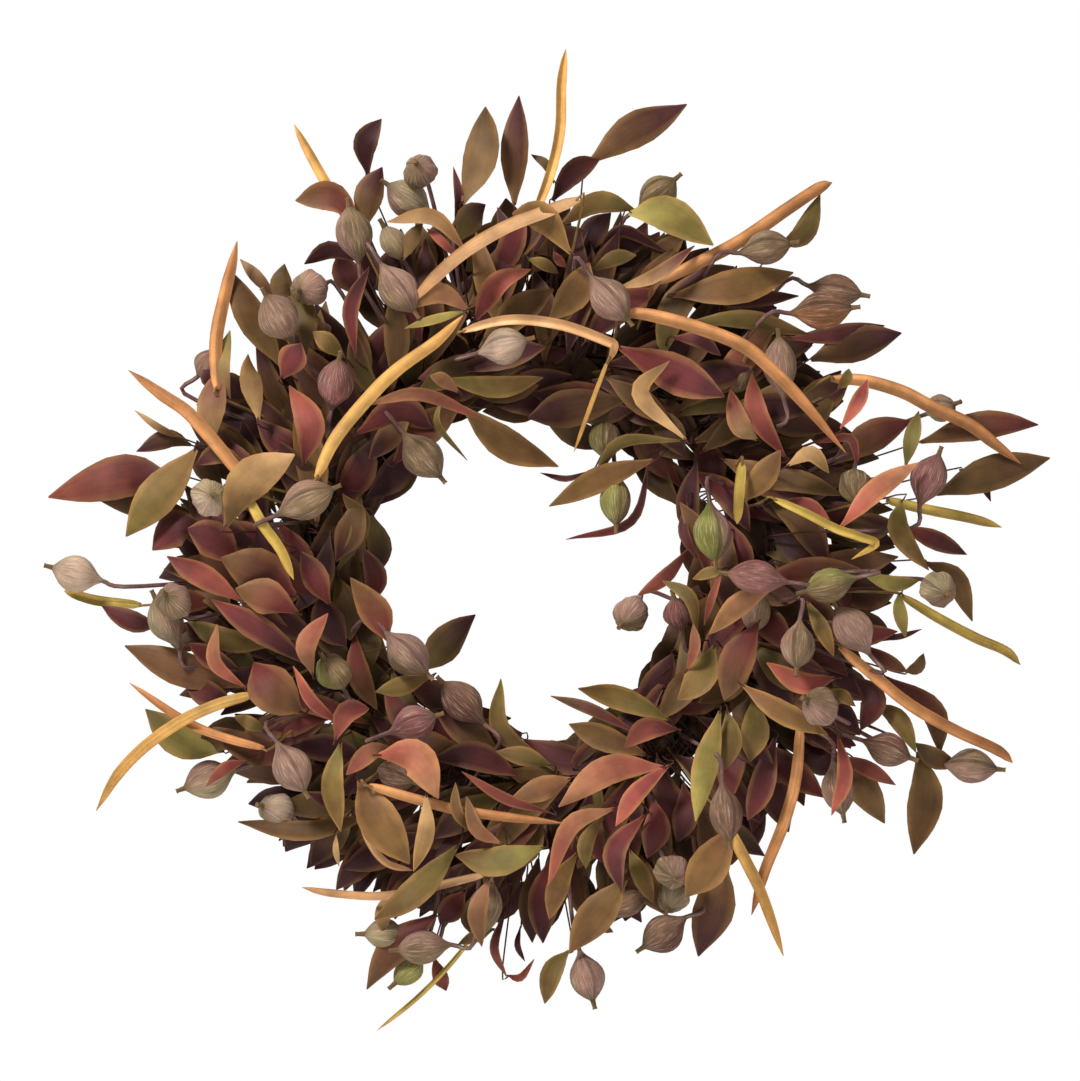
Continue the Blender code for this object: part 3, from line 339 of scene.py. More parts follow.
def spline(points, shares):
    """Points on a smooth Catmull-Rom line through the given ones; shares run from 0 to 1."""
    points = np.asarray(points, float)
    spans = len(points) - 1
    padded = np.vstack([2 * points[0] - points[1], points, 2 * points[-1] - points[-2]])
    found = []
    for share in shares:
        k = min(int(share * spans), spans - 1)
        u = share * spans - k
        a, b, c, d = padded[k : k + 4]
        square = (2 * a - 5 * b + 4 * c - d) * u**2
        cube = (3 * b - a - 3 * c + d) * u**3
        found.append(0.5 * (2 * b + (c - a) * u + square + cube))
    return np.array(found)


def frames(path, front=(0.0, -1.0, 0.0)):
    """Along, across and face directions at each point of a path."""
    ahead = np.gradient(path, axis=0)
    ahead /= np.linalg.norm(ahead, axis=1)[:, None] + 1e-9
    across = np.cross(ahead, np.asarray(front))
    across /= np.linalg.norm(across, axis=1)[:, None] + 1e-9
    return ahead, across, np.cross(across, ahead)


# ---------------------------------------------------------------- mesh gathering


# An edge that bends more than this stays sharp: a leaf's rim and the crease of a blade
CREASE_ANGLE = math.radians(48)


class Gather:
    """Corners, faces, dyes and lengthwise coordinates of many shapes, for one mesh."""

    def __init__(self):
        self.points, self.quads, self.dyes, self.grain = [], [], [], []
        self.count = 0

    def grid(self, points, dyes, grain, loop):
        """A sheet of rows by columns; with loop, its columns close into a tube."""
        rows, columns = points.shape[:2]
        numbers = self.count + np.arange(rows * columns).reshape(rows, columns)
        if loop:
            numbers = np.hstack([numbers, numbers[:, :1]])
        a, b = numbers[:-1, :-1], numbers[:-1, 1:]
        c, d = numbers[1:, 1:], numbers[1:, :-1]
        self.quads.append(np.stack([a, b, c, d], -1).reshape(-1, 4))
        self.points.append(points.reshape(-1, 3))
        self.dyes.append(np.broadcast_to(dyes, points.shape).reshape(-1, 3))
        self.grain.append(np.broadcast_to(grain, (rows, columns, 2)).reshape(-1, 2))
        self.count += rows * columns
        return numbers

    def lid(self, ring, flip=False):
        """Closes a ring of corners with a fan round a point at its middle."""
        ring = list(ring[:-1] if ring[0] == ring[-1] else ring)
        points = np.concatenate(self.points)[ring]
        self.points.append(points.mean(axis=0)[None])
        self.dyes.append(np.concatenate(self.dyes)[ring].mean(axis=0)[None])
        self.grain.append(np.concatenate(self.grain)[ring].mean(axis=0)[None])
        hub = self.count
        self.count += 1
        turn = ring[::-1] if flip else ring
        self.quads.append(np.array([(a, b, hub, hub) for a, b in zip(turn, turn[1:] + turn[:1])]))

    def mesh(self, name):
        """One smooth mesh of all the shapes, with its colours, painted shade and painted light included, as
        the colour attribute dye and grain as its UV map.
        """
        mesh = bpy.data.meshes.new(name)
        faces = [tuple(q[:3]) if q[2] == q[3] else tuple(q) for q in np.concatenate(self.quads).tolist()]
        mesh.from_pydata(to_world(np.concatenate(self.points)).tolist(), [], faces)
        dye = mesh.attributes.new("dye", "FLOAT_COLOR", "POINT")
        tint = np.hstack([np.concatenate(self.dyes), np.ones((self.count, 1))])
        dye.data.foreach_set("color", tint.astype(np.float32).ravel())
        layer = mesh.uv_layers.new(name="grain")
        corner = np.empty(len(mesh.loops), np.int32)
        mesh.loops.foreach_get("vertex_index", corner)
        layer.data.foreach_set("uv", np.concatenate(self.grain)[corner].astype(np.float32).ravel())
        mesh.shade_smooth()
        mesh.set_sharp_from_angle(angle=CREASE_ANGLE)
        return mesh


def add_piece(obj, body, slot, *nodes):
    """Links a finished piece, rides it on its body and stands it in for its CAD nodes."""
    if obj.name not in bpy.context.scene.collection.objects:
        bpy.context.scene.collection.objects.link(obj)
    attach(obj, body)
    if nodes:
        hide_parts(*nodes)
    return obj


def sector_of(x, z):
    """Which of the sixteen bound sprays a place belongs to, counted anticlockwise from the top."""
    return int(((math.degrees(math.atan2(z, x)) - SECTOR_START) % 360.0) // SECTOR) + 1


def sector_node(name, x, z):
    """The CAD node of this name for a place, or the nearest sector that has one."""
    sector = sector_of(x, z)
    for step in (0, 1, -1, 2, -2, 3, -3):
        node = f"{name}_{(sector + step - 1) % SECTORS + 1:02d}"
        if node in NODES:
            return node
    raise RuntimeError(f"no {name} near sector {sector}")


def bound_end(foot):
    """Where a stalk is bound on the front of the ring, for a thing with this foot."""
    angle = math.atan2(foot[2], foot[0])
    return np.array([LAYOUT_RADIUS * math.cos(angle), -BOUND_DEPTH, LAYOUT_RADIUS * math.sin(angle)])


# ---------------------------------------------------------------- leaves, grass, pods

# Outlines: shares of the length from foot to tip, and the half width there as a share of the widest
LEAF_OUTLINE = (
    (0, 0.1, 0.24, 0.42, 0.58, 0.72, 0.84, 0.93, 1),
    (0.12, 0.3, 0.68, 0.97, 1.0, 0.84, 0.55, 0.26, 0.04),
)
GRASS_OUTLINE = ((0, 0.06, 0.2, 0.5, 0.8, 0.91, 1), (0.4, 0.8, 0.95, 1.0, 0.9, 0.62, 0.05))
POD_OUTLINE = (
    (0, 0.06, 0.13, 0.22, 0.33, 0.45, 0.57, 0.69, 0.8, 0.9, 0.96, 1),
    (0.1, 0.15, 0.27, 0.52, 0.8, 0.97, 1.0, 0.93, 0.76, 0.48, 0.26, 0.13),
)
# Wrinkles of a pod: how many go round it, and how deep they are as a share of its radius
PUCKERS = ((2, 0.05), (3, 0.04), (5, 0.035), (8, 0.03), (12, 0.02))
# Dyes of what isn't in the tables
LEAF_RIM = "#c79355"
LEAF_STALK = "#4c2c22"
GRASS_STALK = "#8a6a3c"
POD_STALK = "#7b5752"
POD_END = "#7a6a3f"
POD_NUB = "#7d5f3a"


def stalk(gather, path, radii, dye, columns=6):
    """A round stalk along a path."""
    _, across, face = frames(path)
    turn = np.arange(columns) * 2 * math.pi / columns
    radii = np.asarray(radii)[:, None, None]
    spokes = across[:, None] * np.cos(turn)[None, :, None] - face[:, None] * np.sin(turn)[None, :, None]
    points = path[:, None] + spokes * radii
    lengths = np.concatenate([[0], np.cumsum(np.linalg.norm(np.diff(path, axis=0), axis=1))])
    grain = np.stack(np.broadcast_arrays(turn[None] * 1.5, lengths[:, None]), -1)
    numbers = gather.grid(points, dye, grain, True)
    gather.lid(list(numbers[0]), flip=True)
    gather.lid(list(numbers[-1]))


def strip(gather, path, half, thick, tilt, cup, wave, dyes, outline, fold=0.0):
    """A thin closed strip along a path: a leaf or a blade. dyes are its foot, tip, underside and edge.

    tilt is its turn about the path and its twist, and wave the height, number and start of its ripples.
    cup bends it across like a trough, fold like a crease with painted light on one side of it and painted
    shade on the other.
    """
    rows = len(path)
    share = np.linspace(0, 1, rows)
    _, across, face = frames(path)
    turn = tilt[0] + tilt[1] * (share - 0.4)
    side = across * np.cos(turn)[:, None] + face * np.sin(turn)[:, None]
    up = face * np.cos(turn)[:, None] - across * np.sin(turn)[:, None]
    # Ten corners go round each cross-section: five on the face and five on the underside.
    v = np.array([-1, -0.55, 0, 0.55, 1, 1, 0.55, 0, -0.55, -1.0])
    top = np.array([1, 1, 1, 1, 1, -1, -1, -1, -1, -1.0])
    width = half * np.interp(share, *outline)
    rise = width[:, None] * (cup * v**2 + fold * np.abs(v))
    ripple = np.sin(share[:, None] * wave[1] + wave[2] + 1.3 * np.sign(v)) * np.abs(v) ** 1.5
    rise = rise + wave[0] * half * ripple * np.sin(math.pi * np.clip(share, 0.05, 1))[:, None]
    thin = thick / 2 * (1 - 0.35 * v**4)
    points = (
        path[:, None]
        + side[:, None] * (width[:, None] * v)[..., None]
        + up[:, None] * (rise + top * thin)[..., None]
    )
    foot, tip, under, edge = (np.array(c) for c in dyes)
    fade = np.clip(share * 1.5 - 0.3, 0, 1)[:, None, None]
    face_dye = foot * (1 - fade) + tip * fade
    face_dye = np.broadcast_to(face_dye, points.shape)
    below = np.broadcast_to(under, points.shape)
    colour = np.where((top > 0)[None, :, None], face_dye, below)
    # Painted light and shade on a crease: one side of the fold is painted lighter and the other darker.
    colour = colour * (1 + 0.6 * fold * np.sign(v) * (np.abs(v) < 0.9))[None, :, None]
    rim = (np.abs(v) > 0.9)[None, :, None] * 0.45
    colour = colour * (1 - rim) + edge * rim
    lengths = np.concatenate([[0], np.cumsum(np.linalg.norm(np.diff(path, axis=0), axis=1))])
    # The underside reads another part of the pattern than the face.
    crosswise = width[:, None] * v + 40 * (top < 0)
    grain = np.stack([crosswise, np.broadcast_to(lengths[:, None], crosswise.shape)], -1)
    numbers = gather.grid(points, colour, grain, True)
    gather.lid(list(numbers[0]), flip=True)
    gather.lid(list(numbers[-1]))


def add_leaf(gather, row, dice, settings):
    """A cupped and wavy foam leaf on its wire stalk. The deeper its layer, the darker its colours are
    painted, as painted shade, with a random tone over that.
    """
    x0, z0, x1, z1, x2, z2, width, dye, layer = row
    foot = place(x0, z0, max(min(0.2, layer), layer - 1.0))
    middle = place(x1, z1, layer)
    tip = place(x2, z2, layer - 0.7 + 0.8 * dice.random())
    length = np.linalg.norm(tip - foot)
    shares = np.linspace(0, 1, 13 if length > 35 else 9)
    path = spline([foot, middle, tip], shares)
    path[:, 1] += dice.uniform(-0.07, 0.07) * length * np.sin(2 * math.pi * shares)
    face, under = (linear(c) for c in LEAF_DYES[dye[0]])
    end = linear(LEAF_DYES[dye[1]][0])
    edge = np.array(linear(LEAF_RIM)) * 0.8 + np.array(face) * 0.2
    # Painted shade: a leaf's colours darken the deeper its layer lies, never below 0.3 of the dye, and a
    # random tone is laid over that.
    depth_shade_and_tone = max(0.3, 0.27 + 0.065 * layer) * dice.uniform(0.9, 1.65)
    dyes = [np.array(c) * depth_shade_and_tone for c in (face, end, under, edge)]
    tilt = (dice.uniform(-0.35, 0.35), dice.uniform(-1.0, 1.0))
    cup = dice.choice([-1, 1]) * dice.uniform(0.05, 0.3)
    wave = (dice.uniform(0.05, 0.16), dice.uniform(4, 9), dice.uniform(0, 6.28))
    strip(gather, path, width * 0.54, settings.thickness / MM, tilt, cup, wave, dyes, LEAF_OUTLINE)
    add_stalk(gather, foot, path[1] - path[0], 0.5, linear(LEAF_STALK))


def add_stalk(gather, foot, way, radius, dye):
    """A stalk that rises from the ring behind the foliage and runs on into the foot."""
    start = bound_end(foot)
    low = start * 0.45 + foot * 0.55
    low[1] = start[1] * 0.55 + foot[1] * 0.45
    path = spline([start, low, foot - unit(way) * 4.0, foot + unit(way) * 2.0], np.linspace(0, 1, 9))
    stalk(gather, path, np.linspace(radius * 1.2, radius, 9), dye)


def add_blade(gather, row, dice, settings):
    """A long grass blade with a crease down its middle, on its stalk."""
    width, dye, layer, *places = row
    steps = np.linspace(0, 1, 6 * (len(places) - 1) + 1)
    heights = layer + 0.4 * np.sin(np.linspace(0, 3.0, len(places)))
    path = spline([place(x, z, h) for (x, z), h in zip(places, heights)], steps)
    face, edge = (np.array(linear(c)) for c in GRASS_DYES[dye])
    tip = face * 0.5 + edge * 0.5
    tilt = (dice.uniform(-0.15, 0.15), dice.uniform(-0.5, 0.5))
    fold = dice.choice([-1, 1]) * dice.uniform(0.35, 0.6)
    dyes = (face, tip, edge, edge)
    thick = 0.6 * settings.thickness / MM
    ripples = (0.04, 8, 1)
    strip(gather, path, width * 0.5, thick, tilt, 0.0, ripples, dyes, GRASS_OUTLINE, fold)
    add_stalk(gather, path[0], path[1] - path[0], 0.8, linear(GRASS_STALK))


def add_pod(gather, row, dice, settings):
    """A puckered paper pod with its slender stem at one end and a short woody end at the other."""
    x, z, angle, lean, diameter, length, layer, dye = row
    diameter, length = diameter * 0.96, length * 1.1
    turn, tip = math.radians(angle), math.radians(lean)
    axis = np.array([-math.cos(turn) * math.cos(tip), -math.sin(tip), -math.sin(turn) * math.cos(tip)])
    centre = place(x, z, layer)
    rows, columns = 22, 30
    share = np.linspace(0, 1, rows)
    u = unit(np.cross(axis, (0.31, 0.23, 0.92)))
    v = np.cross(axis, u)
    bow = dice.uniform(-0.05, 0.05) * diameter * np.sin(math.pi * share)
    path = centre + axis * (length * (share - 0.5))[:, None] + u * bow[:, None]
    spin = np.arange(columns) * 2 * math.pi / columns
    radius = 0.5 * diameter * np.interp(share, *POD_OUTLINE)[:, None] * np.ones(columns)
    pucker = np.zeros((rows, columns))
    for count, depth in PUCKERS:
        drift = dice.uniform(-1.6, 1.6) * (share - 0.5)
        pucker += depth * np.cos(count * spin + dice.uniform(0, 6.28) + (drift * count / 3)[:, None])
    radius *= 1 + settings.pucker * pucker * np.sin(math.pi * np.clip(share, 0.08, 0.94))[:, None] ** 0.4
    spokes = u * np.cos(spin)[:, None] + v * np.sin(spin)[:, None]
    points = path[:, None] + spokes * radius[..., None]
    main, second = (np.array(linear(c)) for c in POD_DYES[dye])
    side = 0.9 * np.cos(spin + dice.uniform(0, 6.28))
    mix = np.clip(0.5 + side + 0.5 * (share[:, None] - 0.5), 0, 1)[..., None]
    colour = (main * (1 - mix) + second * mix) * (0.9 + 0.2 * dice.random())
    ends = np.clip(1 - np.minimum(share, 1 - share) * 9, 0, 1)[:, None, None] * 0.45
    colour = colour * (1 - ends) + np.array(linear(POD_END)) * ends
    grain = np.stack(np.broadcast_arrays(spin[None] * diameter / 2, (share * length)[:, None]), -1)
    # Each pod reads its own part of the pattern.
    grain = grain + np.array([x, z])
    numbers = gather.grid(points, colour, grain, True)
    gather.lid(list(numbers[0]), flip=True)
    gather.lid(list(numbers[-1]))
    end = path[-1] + axis * 0.2
    nub = np.array([end - axis * 1.5, end + axis * 1.5, end + axis * 4.0, end + axis * 5.5])
    stalk(gather, nub, (1.9, 1.6, 1.4, 1.7), linear(POD_NUB), 8)
    neck = path[0]
    start = bound_end(neck)
    out = neck - axis * 14.0
    low = start * 0.5 + out * 0.5
    low[1] = start[1] * 0.6 + out[1] * 0.4
    way = spline([start, low, out, neck + axis * 1.5], np.linspace(0, 1, 13))
    stalk(gather, way, np.linspace(1.3, 1.5, 13), linear(POD_STALK), 8)


def gather_by_node(name, rows, foot_of, add, settings, seed):
    """{CAD node: everything of this kind that belongs to it}."""
    found = {}
    for number, row in enumerate(rows):
        dice = np.random.default_rng(seed + number)
        node = sector_node(name, *foot_of(row))
        add(found.setdefault(node, Gather()), row, dice, settings)
    return found


def make_pieces(name, title, rows, foot_of, add, settings, seed, look, slot_of):
    """One piece for each CAD node of this name, from the rows that belong to it."""
    found = gather_by_node(name, rows, foot_of, add, settings, seed)
    # A node that no row belongs to goes with the first piece.
    spare = [n for n in NODES if n.startswith(name) and n not in found]
    for node, gather in sorted(found.items()):
        mesh = gather.mesh(f"{title}_{node[-2:]}")
        mesh.materials.append(look)
        obj = bpy.data.objects.new(mesh.name, mesh)
        add_piece(obj, "wreath", slot_of(node), node, *spare)
        spare = []


# ---------------------------------------------------------------- node trees


def node(tree, kind, values=None, links=None, **settings):
    """Adds a node, with its settings, its sockets' values and what is linked into it."""
    made = tree.nodes.new(kind)
    for key, value in settings.items():
        setattr(made, key, value)
    for key, value in (values or {}).items():
        made.inputs[key].default_value = value
    for key, socket in (links or {}).items():
        tree.links.new(socket, made.inputs[key])
    return made


def blank_material(name):
    """A new material with an empty node tree."""
    made = bpy.data.materials.new(name)
    made.use_nodes = True
    made.node_tree.nodes.clear()
    return made, made.node_tree


def finish_material(made, tree, shader):
    """Links the shader to the material's output."""
    output = tree.nodes.new("ShaderNodeOutputMaterial")
    tree.links.new(shader.outputs["BSDF"], output.inputs["Surface"])
    return made


def grained(name, fibre, streak, bump, roughness, pale, amount):
    """A dyed surface with fibres along it.

    fibre is their width in millimetres, streak how much they lighten or darken the dye, bump their
    height in metres, pale the colour that shows on the highest and amount how much of it.
    """
    made, tree = blank_material(name)
    # The dye attribute holds each piece's dye together with the painted shade of deep leaves and the
    # painted light and shade on grass creases.
    dye = node(tree, "ShaderNodeAttribute", attribute_name="dye").outputs["Color"]
    grain = node(tree, "ShaderNodeAttribute", attribute_name="grain").outputs["Vector"]
    coords = node(tree, "ShaderNodeTexCoord").outputs["Object"]
    fine = node(tree, "ShaderNodeMapping", {"Scale": (1 / fibre, 0.08 / fibre, 1)}, {"Vector": grain})
    along = node(
        tree,
        "ShaderNodeTexNoise",
        {"Scale": 1.0, "Detail": 5.0, "Roughness": 0.65},
        {"Vector": fine.outputs[0]},
    )
    # Blotches where the dye took unevenly are about 17 mm across, and the grit is about 1 mm.
    blotch = node(tree, "ShaderNodeTexNoise", {"Scale": 60.0, "Detail": 3.0}, {"Vector": coords})
    speck = node(tree, "ShaderNodeTexNoise", {"Scale": 900.0, "Detail": 3.0}, {"Vector": coords})
    dark = node(
        tree,
        "ShaderNodeMapRange",
        {"From Min": 0.3, "From Max": 0.7, "To Min": 1 - streak, "To Max": 1 + streak},
        {"Value": along.outputs["Fac"]},
    )
    patch = node(
        tree,
        "ShaderNodeMapRange",
        {"From Min": 0.33, "From Max": 0.67, "To Min": 0.74, "To Max": 1.2},
        {"Value": blotch.outputs["Fac"]},
    )
    both = node(
        tree,
        "ShaderNodeMath",
        links={0: dark.outputs[0], 1: patch.outputs[0]},
        operation="MULTIPLY",
    )
    dyed = node(
        tree,
        "ShaderNodeVectorMath",
        links={0: dye, "Scale": both.outputs[0]},
        operation="SCALE",
    )
    crest = node(
        tree,
        "ShaderNodeMapRange",
        {"From Min": 0.52, "From Max": 0.78, "To Min": 0.0, "To Max": amount},
        {"Value": along.outputs["Fac"]},
    )
    bloom = node(
        tree,
        "ShaderNodeMix",
        {7: (*linear(pale), 1)},
        {0: crest.outputs[0], 6: dyed.outputs[0]},
        data_type="RGBA",
    )
    height = node(tree, "ShaderNodeMath", {1: 0.25}, {0: speck.outputs["Fac"]}, operation="MULTIPLY_ADD")
    tree.links.new(along.outputs["Fac"], height.inputs[2])
    dent = node(tree, "ShaderNodeBump", {"Strength": 1.0, "Distance": bump}, {"Height": height.outputs[0]})
    rough = node(
        tree,
        "ShaderNodeMapRange",
        {"To Min": roughness - 0.07, "To Max": roughness + 0.12},
        {"Value": blotch.outputs["Fac"]},
    )
    shader = node(
        tree,
        "ShaderNodeBsdfPrincipled",
        {"Specular IOR Level": 0.22},
        {"Base Color": bloom.outputs[2], "Roughness": rough.outputs[0], "Normal": dent.outputs[0]},
    )
    return finish_material(made, tree, shader)


def bark_material():
    """Dried vine with its bark on: grey-brown, furrowed along the stem, quite matt."""
    made, tree = blank_material("dried_vine_bark")
    coords = node(tree, "ShaderNodeTexCoord").outputs["Object"]
    grain = node(tree, "ShaderNodeAttribute", attribute_name="grain").outputs["Vector"]
    # Furrows are about 1 mm wide and 20 mm long, and patches of lichen grey about 11 mm across.
    fine = node(tree, "ShaderNodeMapping", {"Scale": (0.9, 0.05, 1)}, {"Vector": grain})
    furrow = node(
        tree,
        "ShaderNodeTexNoise",
        {"Scale": 1.0, "Detail": 6.0, "Roughness": 0.7},
        {"Vector": fine.outputs[0]},
    )
    moss = node(tree, "ShaderNodeTexNoise", {"Scale": 90.0, "Detail": 4.0}, {"Vector": coords})
    tone = node(tree, "ShaderNodeValToRGB", links={"Fac": furrow.outputs["Fac"]})
    stops = ((0.3, "#20150f"), (0.5, "#4a3526"), (0.72, "#84694d"))
    tone.color_ramp.elements.new(0.5)
    for element, (where, code) in zip(tone.color_ramp.elements, stops):
        element.position = where
        element.color = (*linear(code), 1)
    patch = node(
        tree,
        "ShaderNodeMapRange",
        {"From Min": 0.3, "From Max": 0.7, "To Min": 0.6, "To Max": 1.25},
        {"Value": moss.outputs["Fac"]},
    )
    colour = node(
        tree,
        "ShaderNodeVectorMath",
        links={0: tone.outputs["Color"], "Scale": patch.outputs[0]},
        operation="SCALE",
    )
    depth = {"Strength": 1.0, "Distance": 1.2 * MM}
    dent = node(tree, "ShaderNodeBump", depth, {"Height": furrow.outputs["Fac"]})
    shader = node(
        tree,
        "ShaderNodeBsdfPrincipled",
        {"Roughness": 0.88, "Specular IOR Level": 0.25},
        {"Base Color": colour.outputs[0], "Normal": dent.outputs[0]},
    )
    return finish_material(made, tree, shader)


def wire_material(name, code, metallic, roughness):
    """Drawn soft wire: smooth and thin, with brighter and duller stretches."""
    made, tree = blank_material(name)
    coords = node(tree, "ShaderNodeTexCoord").outputs["Object"]
    # Handling dulls the wire in patches of about 6 mm.
    worn = node(tree, "ShaderNodeTexNoise", {"Scale": 160.0, "Detail": 4.0}, {"Vector": coords})
    patch = node(
        tree,
        "ShaderNodeMapRange",
        {"From Min": 0.35, "From Max": 0.65, "To Min": 0.6, "To Max": 1.1},
        {"Value": worn.outputs["Fac"]},
    )
    colour = node(
        tree,
        "ShaderNodeVectorMath",
        {0: linear(code)},
        {"Scale": patch.outputs[0]},
        operation="SCALE",
    )
    rough = node(
        tree,
        "ShaderNodeMapRange",
        {"To Min": roughness - 0.1, "To Max": roughness + 0.15},
        {"Value": worn.outputs["Fac"]},
    )
    depth = {"Strength": 0.5, "Distance": 0.1 * MM}
    dent = node(tree, "ShaderNodeBump", depth, {"Height": worn.outputs["Fac"]})
    shader = node(
        tree,
        "ShaderNodeBsdfPrincipled",
        {"Metallic": metallic},
        {"Base Color": colour.outputs[0], "Roughness": rough.outputs[0], "Normal": dent.outputs[0]},
    )
    return finish_material(made, tree, shader)


# ---------------------------------------------------------------- strands swept by geometry nodes


def socket(tree, name, kind, default, low=None):
    """A named input of a node tree, with its default and its lowest value."""
    made = tree.interface.new_socket(name, in_out="INPUT", socket_type=kind)
    if default is not None:
        made.default_value = default
    if low is not None:
        made.min_value = low
    return made


def strand_tree():
    """Sweeps a round, knobbly stem along each path of a wire mesh, and keeps its lengthwise grain."""
    tree = bpy.data.node_groups.new("wreath_strand", "GeometryNodeTree")
    socket(tree, "Paths", "NodeSocketGeometry", None)
    socket(tree, "Radius", "NodeSocketFloat", 0.004, 0.0)
    socket(tree, "Knobbly", "NodeSocketFloat", 0.2, 0.0)
    socket(tree, "Wander", "NodeSocketFloat", 0.001, 0.0)
    socket(tree, "Spacing", "NodeSocketFloat", 0.003, 0.0005)
    socket(tree, "Sides", "NodeSocketInt", 12, 3)
    socket(tree, "Seed", "NodeSocketFloat", 0.0)
    socket(tree, "Material", "NodeSocketMaterial", None)
    tree.interface.new_socket("Strands", in_out="OUTPUT", socket_type="NodeSocketGeometry")
    given = node(tree, "NodeGroupInput").outputs
    paths = node(tree, "GeometryNodeMeshToCurve", links={"Mesh": given["Paths"]})
    even = node(
        tree,
        "GeometryNodeResampleCurve",
        links={"Curve": paths.outputs[0], "Length": given["Spacing"]},
        mode="LENGTH",
    )
    # A stem strays to and fro over about 26 mm, and its knots are about 13 mm apart.
    where = node(tree, "GeometryNodeInputPosition")
    drift = node(
        tree,
        "ShaderNodeTexNoise",
        {"Scale": 38.0, "Detail": 1.0},
        {"Vector": where.outputs[0], "W": given["Seed"]},
        noise_dimensions="4D",
    )
    level = node(
        tree,
        "ShaderNodeVectorMath",
        {1: (0.5, 0.5, 0.5)},
        {0: drift.outputs["Color"]},
        operation="SUBTRACT",
    )
    wander = node(
        tree,
        "ShaderNodeVectorMath",
        links={0: level.outputs[0], "Scale": given["Wander"]},
        operation="SCALE",
    )
    moved = node(
        tree,
        "GeometryNodeSetPosition",
        links={"Geometry": even.outputs[0], "Offset": wander.outputs[0]},
    )
    length = node(tree, "GeometryNodeSplineParameter").outputs["Length"]
    kept = node(
        tree,
        "GeometryNodeStoreNamedAttribute",
        {"Name": "along"},
        {"Geometry": moved.outputs[0], "Value": length},
        data_type="FLOAT",
    )
    knob = node(
        tree,
        "ShaderNodeTexNoise",
        {"Scale": 75.0, "Detail": 2.0},
        {"Vector": where.outputs[0], "W": given["Seed"]},
        noise_dimensions="4D",
    )
    swell = node(tree, "ShaderNodeMath", {1: 0.5}, {0: knob.outputs["Fac"]}, operation="SUBTRACT")
    factor = node(
        tree,
        "ShaderNodeMath",
        {2: 1.0},
        {0: swell.outputs[0], 1: given["Knobbly"]},
        operation="MULTIPLY_ADD",
    )
    radius = node(
        tree,
        "ShaderNodeMath",
        links={0: factor.outputs[0], 1: given["Radius"]},
        operation="MULTIPLY",
    )
    sized = node(
        tree,
        "GeometryNodeSetCurveRadius",
        links={"Curve": kept.outputs[0], "Radius": radius.outputs[0]},
    )
    ring = node(tree, "GeometryNodeCurvePrimitiveCircle", {"Radius": 1.0}, {"Resolution": given["Sides"]})
    turn = node(tree, "GeometryNodeSplineParameter").outputs["Factor"]
    round_kept = node(
        tree,
        "GeometryNodeStoreNamedAttribute",
        {"Name": "around"},
        {"Geometry": ring.outputs[0], "Value": turn},
        data_type="FLOAT",
    )
    swept = node(
        tree,
        "GeometryNodeCurveToMesh",
        {"Fill Caps": True},
        {"Curve": sized.outputs[0], "Profile Curve": round_kept.outputs[0]},
    )
    if "Scale" in swept.inputs:
        curve_radius = node(tree, "GeometryNodeInputRadius")
        tree.links.new(curve_radius.outputs[0], swept.inputs["Scale"])
    along = node(tree, "GeometryNodeInputNamedAttribute", {"Name": "along"}, data_type="FLOAT")
    around = node(tree, "GeometryNodeInputNamedAttribute", {"Name": "around"}, data_type="FLOAT")
    long_mm = node(tree, "ShaderNodeMath", {1: 1000.0}, {0: along.outputs[0]}, operation="MULTIPLY")
    round_mm = node(tree, "ShaderNodeMath", {1: 25.0}, {0: around.outputs[0]}, operation="MULTIPLY")
    grain = node(tree, "ShaderNodeCombineXYZ", links={"X": round_mm.outputs[0], "Y": long_mm.outputs[0]})
    marked = node(
        tree,
        "GeometryNodeStoreNamedAttribute",
        {"Name": "grain"},
        {"Geometry": swept.outputs[0], "Value": grain.outputs[0]},
        data_type="FLOAT_VECTOR",
    )
    real = node(tree, "GeometryNodeRealizeInstances", links={"Geometry": marked.outputs[0]})
    smooth = node(tree, "GeometryNodeSetShadeSmooth", links={"Geometry": real.outputs[0]})
    dressed = node(
        tree,
        "GeometryNodeSetMaterial",
        links={"Geometry": smooth.outputs[0], "Material": given["Material"]},
    )
    node(tree, "NodeGroupOutput", links={0: dressed.outputs[0]})
    return tree


def evaluated(name, source, tree, values):
    """A plain mesh object made by running a node tree on a source mesh, with inputs set by name."""
    holder = bpy.data.objects.new(f"{name}_source", source)
    bpy.context.scene.collection.objects.link(holder)
    modifier = holder.modifiers.new("Make", "NODES")
    modifier.node_group = tree
    for item in tree.interface.items_tree:
        if item.item_type == "SOCKET" and item.in_out == "INPUT" and item.name in values:
            modifier[item.identifier] = values[item.name]
    graph = bpy.context.evaluated_depsgraph_get()
    made = holder.evaluated_get(graph)
    mesh = bpy.data.meshes.new_from_object(made, preserve_all_data_layers=True, depsgraph=graph)
    mesh.name = name
    bpy.data.objects.remove(holder, do_unlink=True)
    return bpy.data.objects.new(name, mesh)


def path_mesh(name, paths, loop=True):
    """A mesh of edges only, one chain of them for each path in metres."""
    points, edges = [], []
    for path in paths:
        first = len(points)
        count = len(path)
        points += [tuple(p) for p in path]
        edges += [(first + k, first + k + 1) for k in range(count - 1)]
        if loop:
            edges.append((first + count - 1, first))
    mesh = bpy.data.meshes.new(name)
    mesh.from_pydata(points, edges, [])
    return mesh


def round_bundle(turns, start, distance, steps=240, wobble=0.0):
    """A helix round the ring's centreline, in metres: so many turns in one trip round the ring."""
    angle = np.arange(steps) * 2 * math.pi / steps
    lane = start + turns * angle
    distance = distance * (1 + wobble * np.sin(7 * angle + start))
    outward = RING_RADIUS + distance * np.cos(lane)
    return np.stack(
        [
            RING_CENTRE[0] + outward * np.cos(angle),
            RING_CENTRE[1] - distance * np.sin(lane),
            RING_CENTRE[2] + outward * np.sin(angle),
        ],
        -1,
    )


# ---------------------------------------------------------------- sizes and colours a user may change


